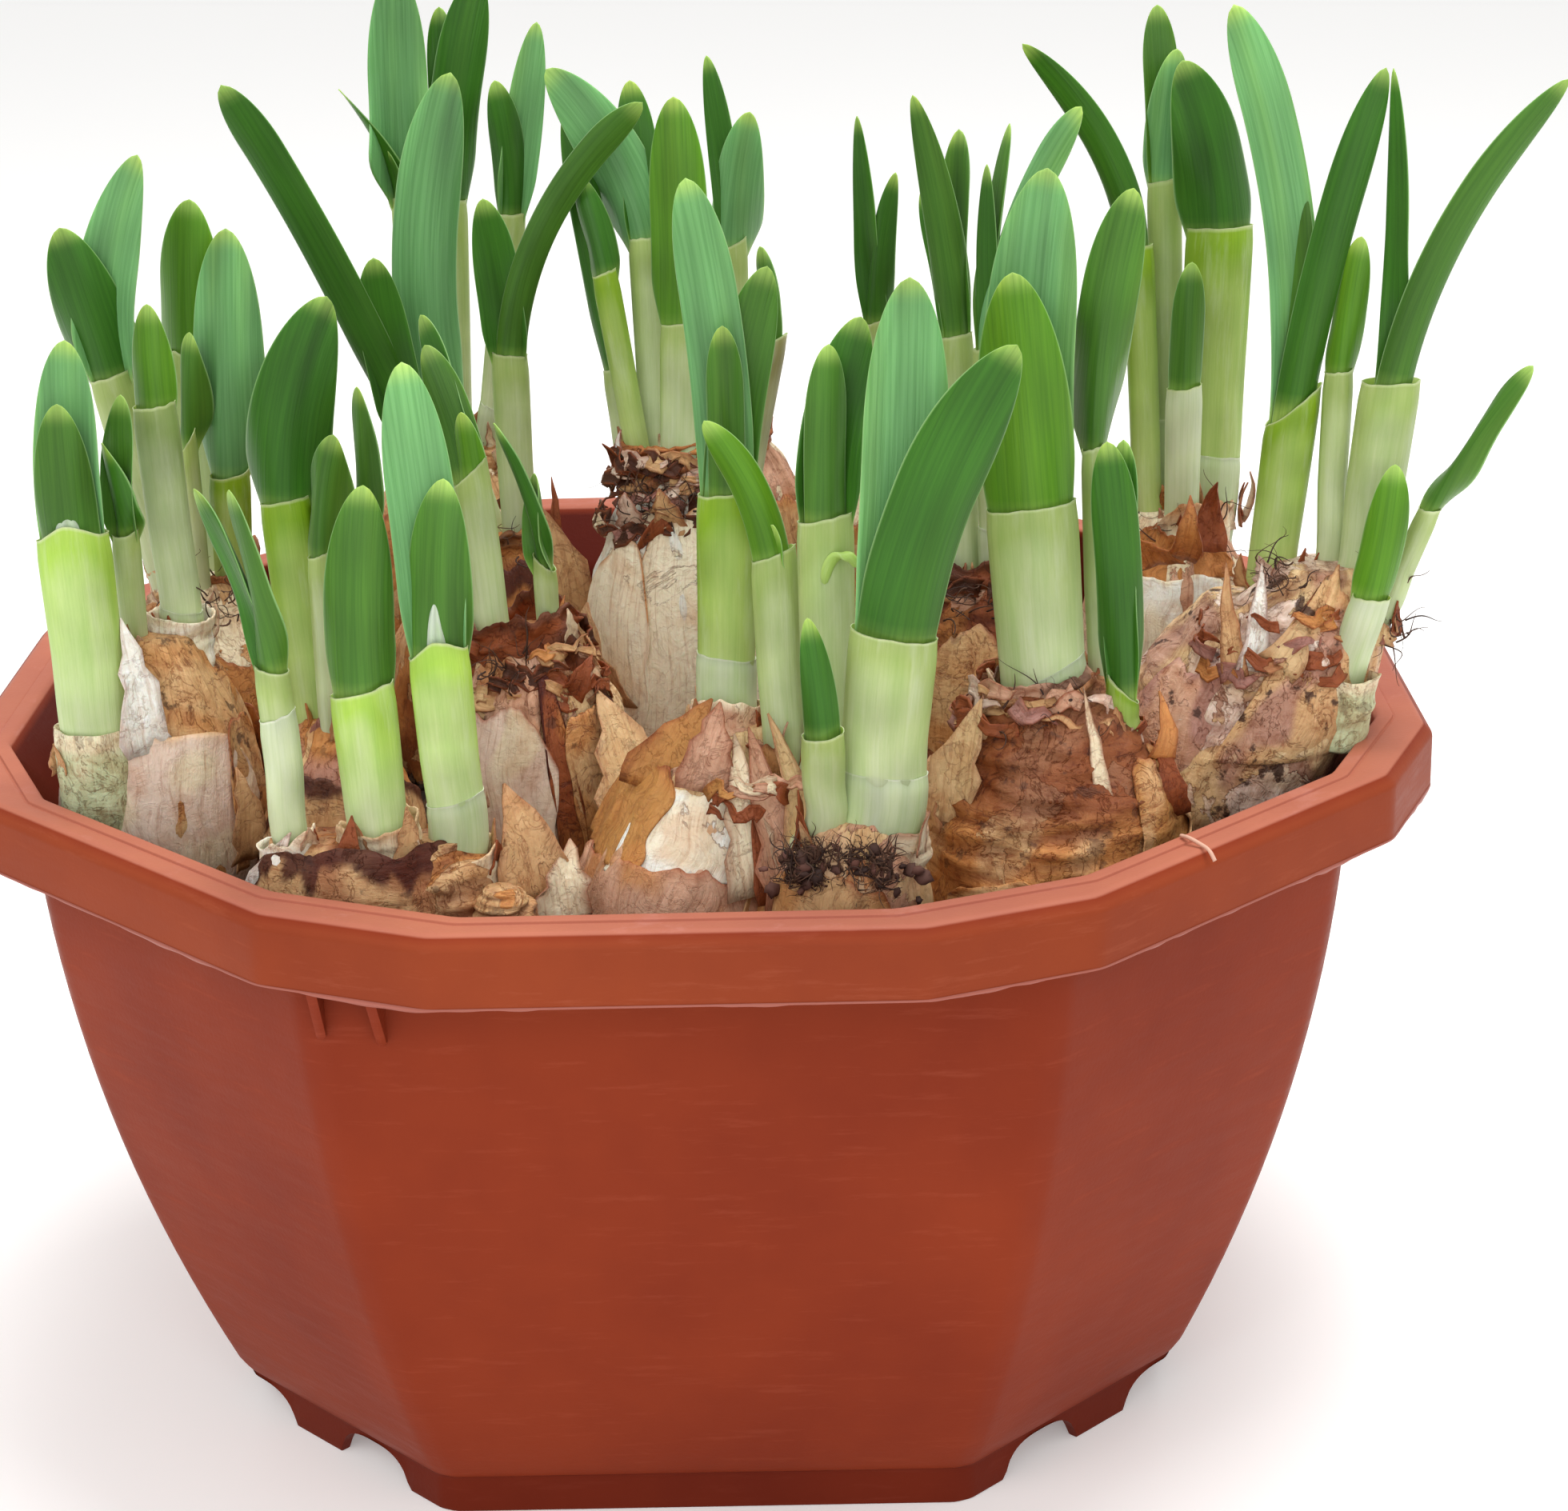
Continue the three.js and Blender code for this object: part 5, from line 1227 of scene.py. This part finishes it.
def sleeve_rings(row, seed):
    """A papery sleeve round the feet of shoots.

    Its rings go up the outside, over the torn edge and down the inside, 0.3 mm further in. The edge rises
    and falls by waves of three sizes, and the sleeve flares a little there. Folds run across it.
    """
    points, wide, deep, flare, ragged, fold, colour, edge = row
    path = spline(points, 61)
    angle = np.arange(SLEEVE_AROUND) * 2 * np.pi / SLEEVE_AROUND
    climb = np.concatenate([np.linspace(0, 1, SLEEVE_LEVELS), [1.003], np.linspace(1, 0.35, 8)])
    inset = np.concatenate([np.zeros(SLEEVE_LEVELS), [SLEEVE_WALL / 2], np.full(8, SLEEVE_WALL)])
    station = np.clip(climb * 60, 0, 60).astype(int)
    along, side, through = (v[station] for v in across(path))
    length = np.linalg.norm(np.subtract(points[2], points[0]))
    circle = np.stack([wide * np.cos(angle), wide * np.sin(angle), 0 * angle + seed], -1)
    flat = circle[None] + [0, 0, 1] * (climb * length)[:, None, None]
    torn = ripple(circle, 15, seed) + 0.3 * ripple(circle, 4, seed + 1) + 0.12 * ripple(circle, 1.6, seed + 2)
    rise = ragged * torn * climb[:, None] ** 3
    folds = 0.6 * fold * ripple(flat * [0.2, 0.2, 1], 2.6, seed + 3) + 0.3 * ripple(flat, 6, seed + 4)
    reach = 1.04 - 0.06 * climb + flare * climb**2
    reach = reach[:, None] - inset[:, None] / wide + folds / wide
    rings = path[station][:, None] + side[:, None] * (wide * reach * np.cos(angle))[..., None]
    rings = rings + through[:, None] * (deep * reach * np.sin(angle))[..., None]
    rings = rings + along[:, None] * rise[..., None]
    dots = 0.15 if colour in ("white", "cream") else 0.4
    look = (colour, edge, colour, 0.9, 0.3 + 0.6 * (fold > 0.5), dots)
    values = skin_values(rings, flat, look, seed + 6)
    rim = smooth((climb[:, None] * length + rise - length * 0.84) / 1.8) * (climb[:, None] > 0.7)
    for key in ("tint", "under"):
        values[key] = blend(values[key], linear(SKINS[edge]), 0.7 * rim)
    return rings[None], values


def strip_rings(foot, tip, breadth, bow, facing, colours, seed, wave=0.0):
    """Torn strips of skin, one from each foot to each tip.

    A strip bows to the side it faces by a share of its length, most at its middle. It is broadest at its
    foot, ends in a point that leans to one side, has ragged edges and curls and creases across its breadth. A
    crumpled one also swings up and down and in and out along its length, by the wave's share of it.
    """
    count = len(foot)
    draw = np.random.default_rng(seed)
    t = np.linspace(0, 1, 9)[:, None]
    across_share = np.linspace(-1, 1, 7)
    length = np.linalg.norm(tip - foot, axis=1)[:, None, None]
    path = foot[:, None] + (tip - foot)[:, None] * t
    path = path + facing[:, None] * (bow[:, None, None] * length * 4 * t * (1 - t))
    phase = np.arange(count)[:, None] * 2.4
    path[..., 2] += wave * length[..., 0] * np.sin(8 * t[:, 0] + phase)
    path[..., :2] += (wave * length * np.sin(11 * t + 1.7 * phase[..., None])) * facing[:, None, :2]
    along = np.gradient(path, axis=1)
    along /= np.linalg.norm(along, axis=-1, keepdims=True)
    side = np.cross(along, facing[:, None])
    side /= np.linalg.norm(side, axis=-1, keepdims=True)
    face = np.cross(side, along)
    half = 0.5 * breadth[:, None] * (1.25 - 0.2 * t[:, 0]) * np.clip(1 - t[:, 0] ** 1.7, 0.02, 1) ** 0.9
    edge = across_share * (1 + 0.26 * draw.uniform(-1, 1, (count, 9, 1)) * np.sign(across_share))
    lean = draw.uniform(-0.45, 0.45, (count, 1, 1)) * breadth[:, None, None] * t**1.5
    spread = half[..., None] * edge + lean
    curl = 0.2 * half[..., None] * across_share**2
    curl = curl + 0.1 * half[..., None] * draw.uniform(-1, 1, (count, 9, 7))
    grid = path[:, :, None] + side[:, :, None] * spread[..., None] + face[:, :, None] * curl[..., None]
    rim = np.maximum(np.abs(across_share) ** 4 * 0.9, 0.8 * t**6) * draw.uniform(0.4, 1, (count, 1, 1))
    tint = blend(colours[:, None, None] + 0 * grid, linear(SKINS["rust"]), rim)
    flat = np.stack([spread, 0 * spread, np.broadcast_to(t, spread.shape) * length], -1)
    flat = flat + draw.uniform(0, 90, (count, 1, 1, 3))
    look = np.broadcast_to([0.1, 0.2, 0.9], grid.shape)
    values = {"tint": tint, "under": blend(tint, linear(SKINS["tan"]), 0.3), "straight": flat, "look": look}
    both = {key: np.concatenate([value, value[:, :, ::-1]], 2) for key, value in values.items()}
    return closed_sheet(grid, SKIN_THICK), both


def tatter_rings(name, seed):
    """Small strips round each shoot's foot: they start just below it, lean outwards and rise 4 to 9 mm."""
    draw = np.random.default_rng(seed)
    shoots = SHOOTS[name]
    count = TATTERS_A_SHOOT * len(shoots)
    neck = np.repeat([shoot[0] for shoot in shoots], TATTERS_A_SHOOT, 0).astype(float)
    half = np.repeat([sheath_halves(shoot[2]) for shoot in shoots], TATTERS_A_SHOOT, 0)
    angle = draw.uniform(0, 2 * np.pi, count)
    outward = np.stack([np.cos(angle), np.sin(angle), 0 * angle], -1)
    foot = neck + outward * (half[:, :1] * [1, 0, 0] + half[:, 1:] * [0, 1, 0] + [0.6, 0.6, 0])
    foot[:, 2] -= draw.uniform(1.5, 4, count)
    tip = foot + outward * draw.uniform(0.3, 2.6, (count, 1)) + [0, 0, 1] * draw.uniform(4, 9, (count, 1))
    names = [SKIN_LOOKS[name][0], SKIN_LOOKS[name][1], SKIN_LOOKS[name][2], "rust", "cream", "tan"]
    colours = np.array([linear(SKINS[c]) for c in names])[draw.integers(0, len(names), count)]
    breadth, bow = draw.uniform(2, 4.5, count), draw.uniform(-0.12, 0.18, count)
    return strip_rings(foot, tip, breadth, bow, outward, colours, seed + 1)


def wrap_rings(row, seed):
    """Narrow ribbons that wrap a neck: each runs round it by 20 to 55 degrees, and bows away from it."""
    middle, halves, heights, count, names = row
    draw = np.random.default_rng(seed)
    angle = draw.uniform(0, 2 * np.pi, count)
    turn = draw.uniform(0.35, 0.95, count) * draw.choice([-1, 1], count)
    level = draw.uniform(*heights, count)
    swell = 1 + 0.35 * (heights[1] - level) / (heights[1] - heights[0])
    ends = []
    for around, rise in ((angle, 0 * angle), (angle + turn, draw.uniform(-1.5, 2.5, count))):
        x, y = middle[0] + halves[0] * swell * np.cos(around), middle[1] + halves[1] * swell * np.sin(around)
        ends.append(np.stack([x, y, level + rise], -1))
    outward = np.stack([np.cos(angle + turn / 2), np.sin(angle + turn / 2), 0.3 + 0 * angle], -1)
    outward /= np.linalg.norm(outward, axis=1, keepdims=True)
    colours = np.array([linear(SKINS[c]) for c in names])[draw.integers(0, len(names), count)]
    bow = draw.uniform(0.1, 0.24, count)
    return strip_rings(*ends, draw.uniform(1.2, 3.2, count), bow, outward, colours, seed + 1, WRAP_WAVE)


def shard_rings(rows, seed):
    """The big torn strips of one bulb, from their rows."""
    foot, tip, facing = (np.array([row[k] for row in rows], float) for k in (0, 1, 4))
    facing /= np.linalg.norm(facing, axis=1, keepdims=True)
    colours = np.array([linear(SKINS[row[5]]) for row in rows])
    breadth, bow = (np.array([row[k] for row in rows], float) for k in (2, 3))
    return strip_rings(foot, tip, breadth, bow, facing, colours, seed)


for number, name in enumerate(SHOOTS):
    parts = [sleeve_rings(row, 700 + 20 * number + 4 * i) for i, row in enumerate(SLEEVES.get(name, []))]
    parts.append(tatter_rings(name, 1500 + 3 * number))
    if name in SHARDS:
        parts.append(shard_rings(SHARDS[name], 1600 + 3 * number))
    if name in WRAPS:
        parts.append(wrap_rings(WRAPS[name], 2100 + 3 * number))
    piece(name + "_neck_skins", parts, papery)

# Dry fibres: hair-thin dark threads of old skin and dead roots that curl at the necks, with a small mat of
# roots on the front bulb and one thread that lies over the rim.
# A tuft is: its middle, how far it spreads along X, Y and Z, how many fibres, and how long they are.
TUFTS = [
    ((-77, -40, 147), (3, 3, 3), 14, 9),
    ((-4, -6, 153), (7, 3, 4), 130, 8),
    ((24, -99, 121), (8, 3, 3), 420, 5),
    ((117, -40, 141), (2, 2, 5), 22, 8),
    ((99, -38, 147), (4, 3, 3), 26, 8),
    ((-28, -44, 136), (6, 2, 3), 30, 8),
    ((57, -76, 136), (8, 2, 4), 26, 9),
    ((47, -28, 141), (5, 3, 3), 30, 8),
    ((-37, 12, 141), (6, 4, 3), 24, 9),
    ((-48, 60, 146), (7, 5, 3), 30, 9),
    ((5, 60, 147), (6, 4, 3), 24, 9),
    ((37, 54, 145), (6, 4, 3), 24, 9),
    ((88, 10, 142), (6, 4, 3), 24, 9),
    ((-86, 2, 138), (6, 4, 3), 24, 8),
]
FIBRE_BROWN, ROOT_BROWN, MAT_BROWN, THREAD_TAN = "#33201a", "#5b3a26", "#6e4438", "#d2a58f"
# The root mat: its middle, how far its bits spread along X, Y and Z, and how many there are.
MAT_MIDDLE, MAT_SPREAD, MAT_COUNT = (24.5, -98.5, 119.5), (4.2, 1.5, 1.9), 150
# The thread over the rim, by points along it.
THREAD = [
    (76.6, -89.6, 121.4), (77.6, -91.8, 121.8), (79.2, -94, 121.5), (80.2, -95.8, 121.2), (81, -96.6, 119.8)]
THREAD_RADIUS = 0.32


def fibre_rings(start, heading, length, radius, curl, seed):
    """Curling threads: straight lines with two slow waves across them, four-sided and tapered to a point."""
    count = len(start)
    draw = np.random.default_rng(seed)
    t = np.linspace(0, 1, 12)[:, None]
    side = np.cross(heading, draw.normal(size=(count, 3)))
    side /= np.linalg.norm(side, axis=1, keepdims=True)
    other = np.cross(heading, side)
    pace, phase = draw.uniform(3, 8, (2, count, 1, 1)), draw.uniform(0, 6.3, (2, count, 1, 1))
    wave = [np.sin(pace[k] * t + phase[k]) - np.sin(phase[k]) for k in range(2)]
    swing = curl[:, None, None] * length[:, None, None]
    path = start[:, None] + heading[:, None] * length[:, None, None] * t
    path = path + side[:, None] * wave[0] * swing + other[:, None] * wave[1] * swing
    angle = np.arange(4) * np.pi / 2
    thick = (radius[:, None] * (1 - 0.8 * t[:, 0]))[:, :, None, None]
    round_it = side[:, None, None] * np.cos(angle)[:, None] + other[:, None, None] * np.sin(angle)[:, None]
    return path[:, :, None] + round_it * thick


def tuft_rings(row, seed):
    """One tuft: fibres that start about its middle and run in all directions, more often upwards."""
    middle, spread, count, long = row
    draw = np.random.default_rng(seed)
    start = np.array(middle) + draw.uniform(-1, 1, (count, 3)) * spread
    heading = draw.normal(size=(count, 3)) + [0, -0.3, 0.7]
    heading /= np.linalg.norm(heading, axis=1, keepdims=True)
    rings = fibre_rings(start, heading, long * draw.uniform(0.4, 1, count), draw.uniform(0.1, 0.24, count),
                        draw.uniform(0.05, 0.25, count), seed + 1)
    brown = blend(linear(FIBRE_BROWN), linear(ROOT_BROWN), draw.uniform(0, 1, count))
    return rings, {"tint": brown[:, None, None] + 0 * rings}

def mat_rings():
    """The root mat: uneven lumps one to three millimetres across, strewn most densely at its middle."""
    draw = np.random.default_rng(1790)
    places = np.array(MAT_MIDDLE) + draw.normal(size=(MAT_COUNT, 3)) * MAT_SPREAD
    rings = scattered(lump(), places, draw.uniform(0.4, 1.5, (MAT_COUNT, 3)), 1791)
    brown = blend(linear(FIBRE_BROWN), linear(MAT_BROWN), draw.uniform(0, 1, MAT_COUNT))
    return rings, {"tint": brown[:, None, None] + 0 * rings}


def thread_rings():
    """The thread over the rim: a six-sided tube along its points."""
    path = spline(THREAD, 25)
    _, wide, through = across(path)
    angle = np.arange(6) * np.pi / 3
    round_it = wide[:, None] * np.cos(angle)[:, None] + through[:, None] * np.sin(angle)[:, None]
    rings = (path[:, None] + THREAD_RADIUS * round_it)[None]
    return rings, {"tint": linear(THREAD_TAN) + 0 * rings}


# Dry root: matt brown, nearly black in the tufts.
root_skin, tree = new_material("dry_root_fibre", {"Roughness": 0.8})
feed(tree, "Base Color", add(tree, "ShaderNodeAttribute", {}, "Color", attribute_name="tint"))

parts = [tuft_rings(row, 1700 + 2 * i) for i, row in enumerate(TUFTS)]
parts += [mat_rings(), thread_rings()]
piece("neck_fibres", parts, root_skin)

# The leaves: fleshy straps, slightly channelled, that stand up out of the sheaths. Blue-green ones carry a
# bloom of wax; others are dark or yellow-green. All have fine parallel veins, a pale edge and a paler tip.
# A row is a leaf's tip, its width as seen from the front, its colour and, where it is slender, how long
# its tip is in widths. The rows of one shoot run in the order of SHOOTS.
LEAVES = {
    "left": [
        [((-95, -56, 195), 10, "blue"), ((-96, -61, 186), 9, "mid")],
        [((-88, -51, 185), 5, "mid"), ((-91, -54, 178), 3, "dark")],
        [((-84, -44, 198), 6.8, "bright")],
    ],
    "left_rear": [
        [((-106, -2, 203), 12, "dark"), ((-93, 5, 214), 10.5, "blue", 1.2)],
        [((-86, 12, 205), 12, "bright")],
        [((-77, -6, 203), 12.2, "blue")],
        [((-84, -9, 186), 4.5, "mid")],
    ],
    "left_inner": [
        [((-55, -46, 199), 13.2, "dark")],
        [((-54, -56, 179), 7, "mid")],
        [((-52, -40, 183), 4.2, "mid")],
    ],
    "front_left": [
        [((-45, -92, 180), 10, "mid")],
        [((-64, -97, 181), 3.8, "mid"), ((-70, -92, 180), 2.6, "dark")],
        [((-33, -93, 181), 9.5, "mid"), ((-39, -86, 197), 9.5, "blue")],
    ],
    "centre_left": [
        [((-36, -34, 177), 4.8, "bright"), ((-42, -28, 187), 6.4, "mid"), ((-43, -23, 191), 4, "dark")],
        [((-30, -42, 177), 2, "dark"), ((-24, -40, 168), 2.4, "mid")],
    ],
    "front": [
        [((3, -67, 220), 8.6, "blue"), ((8, -70, 198), 5.5, "mid"), ((15, -65, 206), 8, "mid")],
        [((5, -77, 185), 5.6, "bright"), ((15, -75, 168), 3.8, "bright")],
        [((20, -98, 160), 5.2, "dark", 1.5)],
        [((51, -97, 200), 12, "dark"), ((36, -86, 208), 12, "blue")],
        [((29, -75, 200), 9.5, "dark"), ((24, -80, 197), 6, "mid")],
    ],
    "front_right": [
        [((52, -69, 205), 14, "bright"), ((58, -59, 219), 13.4, "blue")],
        [((71, -61, 216), 8.4, "mid")],
        [((66, -75, 180), 6.8, "dark"), ((69, -70, 179), 3.8, "dark")],
    ],
    "centre": [
        [((-18, 10, 208), 5, "dark")],
        [((-1, 4, 222), 9.5, "bright")],
        [((-23, 12, 226), 10.5, "blue"), ((-9, 18, 223), 6.4, "dark")],
        [((13, 10, 195), 3, "mid")],
        [((-20, 13, 219), 5.6, "dark", 1.5)],
    ],
    "rear_left_inner": [
        [((-35, 12, 204), 7.6, "dark"), ((-6, -2, 222), 5, "mid")],
        [((-40, 18, 225), 10.8, "blue")],
        [((-76, -6, 227), 6.6, "dark"), ((-54, 7, 195), 8.4, "dark")],
    ],
    "rear_left": [
        [((-54, 64, 238), 10.5, "blue"), ((-58, 61, 206), 4, "mid"), ((-65, 58, 217), 2.4, "dark", 3)],
        [((-39, 68, 236), 9, "dark"), ((-47, 72, 230), 5, "dark")],
        [((-28, 62, 228), 6.8, "blue", 1.5), ((-36, 58, 218), 6, "dark")],
    ],
    "rear": [[((11, 66, 210), 9.5, "blue", 1.3), ((3, 71, 220), 5, "dark", 1.8)]],
    "centre_right": [
        [((39, -14, 224), 6, "mid", 2.5), ((41, -8, 208), 5, "dark"), ((47, -6, 217), 3.8, "mid")],
        [((51, -18, 213), 2.6, "dark", 2), ((55, -14, 219), 2.8, "mid", 2), ((66, -24, 223), 4, "blue")],
    ],
    "rear_right": [[((31, 58, 210), 3.8, "dark", 2.5), ((38, 54, 200), 4.8, "dark", 1.8)]],
    "right_rear": [
        [((59, 16, 228), 5.6, "dark", 1.6)],
        [((87, 28, 225), 7, "blue"), ((84, 34, 232), 6, "mid")],
        [((87, 20, 224), 12.8, "dark", 1.2)],
        [((88, 8, 191), 5.6, "mid")],
    ],
    "right": [
        [((91, -18, 238), 8, "blue"), ((101, -22, 211), 4, "mid"), ((114, -30, 229), 6.2, "dark", 1.5)],
        [((111, -30, 202), 4.5, "bright")],
        [((115, -31, 229), 2.8, "dark", 3), ((141, -40, 228), 5.6, "mid", 1.5)],
        [((115, -46, 168), 6.7, "bright")],
        [((137, -43, 183), 2.8, "mid")],
    ],
}
LEAF_THICK, LEAF_AROUND, LEAF_STATIONS = 1.3, 20, 46
LEAF_GREENS = {"blue": "#6ea567", "mid": "#497726", "dark": "#386c1b", "bright": "#598c1d"}
LEAF_TIP, LEAF_FOOT, LEAF_MARGIN, YOUNG_LEAF = "#b7d66e", "#a9c663", "#a6cf8a", "#8fb551"
# What a leaf's colour is multiplied by along its veins.
LEAF_VEINED = (0.5, 0.62, 0.5, 1)
NARROWEST_LEAF = 5.5


def leaf_rings(shoot, leaf, layer, seed):
    """One leaf, from inside its sheath to its tip.

    Its line leaves the sheath along the tube and bends to the tip: a curve with one control point. Across it
    lies a flattened oval whose width grows evenly from the sheath and ends as an ellipse, and whose edges
    bend back round the tube at the foot and flatten out above. A leaf that looks narrow is turned edge-on.
    """
    neck, mouth, width = (np.array(v, float) for v in shoot[:3])
    tip, seen = np.array(leaf[0], float), leaf[1] * 1.07
    point = leaf[3] if len(leaf) > 3 else 0.9
    half_wide, half_thick = sheath_halves(float(width))
    upper = (mouth - neck) / np.linalg.norm(mouth - neck)
    bore, depth = half_wide - SHEATH_WALL - 0.25, half_thick - SHEATH_WALL - 0.25
    start = mouth - 7 * upper + np.array([0, layer * (depth - LEAF_THICK * 0.55), 0])
    length = np.linalg.norm(tip - start)
    lead = start + upper * length * 0.5
    t = np.linspace(0, 1, LEAF_STATIONS) ** 0.9
    t = t + 0.12 * np.sin(np.pi * t) * t
    share = (t / t[-1])[:, None]
    path = start * (1 - share) ** 2 + lead * 2 * share * (1 - share) + tip * share**2
    share = share[:, 0]
    full_width = max(seen, min(NARROWEST_LEAF, 1.6 * seen))
    turn = math.acos(seen / full_width) * (1 if seed % 2 else -1) + 0.16 * math.sin(seed * 2.3)
    _, wide, through = across(path, smooth(share * 2.2 - 0.25) * turn)
    root = min(bore * 0.97, max(full_width / 2, 1.2))
    grown = smooth((share * length - 2) / (length * 0.3))
    half = root + (full_width / 2 - root) * grown
    tip_share = min(full_width * point * 2.1, length * 0.66) / length
    cap = np.clip((share - 1 + tip_share) / tip_share, 0, 1)
    half = half * np.clip(1 - cap**2.3, 0.0004, 1) ** 0.58
    thick = LEAF_THICK / 2 * np.clip(1 - cap**4, 0.25, 1) * (1 - 0.25 * share)
    wrap = 1 - smooth((share * length - 5) / 26)
    cup = (depth * 0.85 * wrap * (half / max(bore, 0.1)) ** 2 + 0.26 * half * (1 - wrap) * (1 - cap)) * -layer
    angle = (np.arange(LEAF_AROUND) + 0.5) * 2 * np.pi / LEAF_AROUND
    side = np.cos(angle)
    flutter = 0.05 * half[:, None] * np.sin(share[:, None] * 9 + seed) * side
    lift = thick[:, None] * np.sin(angle) + cup[:, None] * side**2 + flutter
    rings = path[:, None] + wide[:, None] * (half[:, None] * side)[..., None]
    rings = rings + through[:, None] * lift[..., None]
    up = share * length
    green = linear(LEAF_GREENS[leaf[2]])
    tint = blend(np.repeat(linear(LEAF_FOOT)[None], len(share), 0), green, smooth((up - 3) / 6))
    tint = blend(tint, green * [1.1, 1.12, 1.0], 0.6 * smooth(share * 1.6 - 0.6))
    tint = blend(tint, linear(LEAF_TIP), 0.75 * smooth((up - length + 4.5) / 4.5) ** 1.5)
    streak = np.stack([half[:, None] * side, 0.06 * up[:, None] + 0 * lift, 0 * lift], -1)
    mottle = 1 + 0.07 * ripple(rings, 14, seed) + 0.12 * ripple(streak, 3.5, seed + 1) - 0.1 * (1 - side**2)
    tint = tint[:, None] * mottle[..., None]
    sunny = smooth(0.5 * ripple(streak, 5, seed + 2) + 0.4 * np.abs(side) - 0.1)
    tint = tint * (1 + sunny[..., None] * [0.22, 0.1, -0.1])
    edge = np.abs(side) + 0 * lift
    straight = np.stack([half[:, None] * side, up[:, None] + 0 * lift, edge], -1)
    return rings[None], {"tint": tint[None], "straight": straight[None]}


def core_rings(shoot):
    """The folded young leaf inside a sheath, which fills it to just below its edge: a domed oval plug."""
    neck, mouth, width = (np.array(v, float) for v in shoot[:3])
    half_wide, half_thick = sheath_halves(float(width))
    upper = (mouth - neck) / np.linalg.norm(mouth - neck)
    path = np.stack([mouth + upper * rise for rise in (-12, -8, -5, -3.6, -3.0, -2.8)])
    size = np.array([1, 1, 0.98, 0.85, 0.55, 0.15])
    _, wide, through = across(path)
    angle = (np.arange(LEAF_AROUND) + 0.5) * 2 * np.pi / LEAF_AROUND
    inset = SHEATH_WALL + 0.1
    rings = path[:, None] + wide[:, None] * (size[:, None] * (half_wide - inset) * np.cos(angle))[..., None]
    rings = rings + through[:, None] * (size[:, None] * (half_thick - inset) * np.sin(angle))[..., None]
    tint = np.broadcast_to(linear(YOUNG_LEAF), rings.shape)
    straight = rings * 0 + np.stack([half_wide * np.cos(angle), 0 * angle, 0 * angle], -1)
    return rings[None], {"tint": tint[None], "straight": straight[None]}


def leaf_parts(name, number):
    """All the leaves of one bulb, layered from front to back where they leave each sheath."""
    parts = []
    for i, (shoot, leaves) in enumerate(zip(SHOOTS[name], LEAVES[name])):
        parts.append(core_rings(shoot))
        in_order = sorted(leaves, key=lambda leaf: leaf[0][1])
        for j, leaf in enumerate(in_order):
            layer = -1 if len(in_order) == 1 else 2 * j / (len(in_order) - 1) - 1
            parts.append(leaf_rings(shoot, leaf, layer, 3000 + 60 * number + 9 * i + 2 * j + i % 2))
    return parts


# Leaf skin: waxy and satin, with darker veins about half a millimetre apart, a paler margin and a little
# light that comes through.
leaf_skin, tree = new_material("waxy_leaf_cuticle", {
    "Roughness": 0.4, "IOR": 1.42, "Specular IOR Level": 0.3, "Subsurface Weight": 0.12,
    "Subsurface Scale": 0.001, "Subsurface Radius": (0.6, 1.0, 0.2), "Sheen Weight": 0.1,
    "Sheen Roughness": 0.4})
tint = add(tree, "ShaderNodeAttribute", {}, "Color", attribute_name="tint")
straight = add(tree, "ShaderNodeAttribute", {}, "Vector", attribute_name="straight")
vein_spot = add(tree, "ShaderNodeMapping", {"Vector": straight, "Scale": (1, 0.018, 0)}, 0)
veins = add(tree, "ShaderNodeTexNoise", {"Vector": vein_spot, "Scale": 1.9, "Detail": 2.5, "Roughness": 0.6},
            "Fac")
vein_share = add(tree, "ShaderNodeMapRange", {0: veins, 1: 0.4, 2: 0.62, 3: 0.0, 4: 0.5}, 0)
veined = add(tree, "ShaderNodeMix", {0: 1.0, 6: tint, 7: LEAF_VEINED}, 2, data_type="RGBA",
             blend_type="MULTIPLY")
colour = add(tree, "ShaderNodeMix", {0: vein_share, 6: tint, 7: veined}, 2, data_type="RGBA")
near_edge = add(tree, "ShaderNodeSeparateXYZ", {"Vector": straight}, "Z")
edge_share = add(tree, "ShaderNodeMapRange", {0: near_edge, 1: 0.95, 2: 1.0, 3: 0.0, 4: 0.7}, 0)
colour = add(tree, "ShaderNodeMix", {0: edge_share, 6: colour, 7: (*linear(LEAF_MARGIN), 1)}, 2,
             data_type="RGBA")
feed(tree, "Base Color", colour)
feed(tree, "Normal", add(tree, "ShaderNodeBump", {"Height": veins, "Strength": 0.35, "Distance": 0.0003}, 0))

for number, name in enumerate(SHOOTS):
    piece(name + "_leaves", leaf_parts(name, number), leaf_skin, ["leaves_" + name])
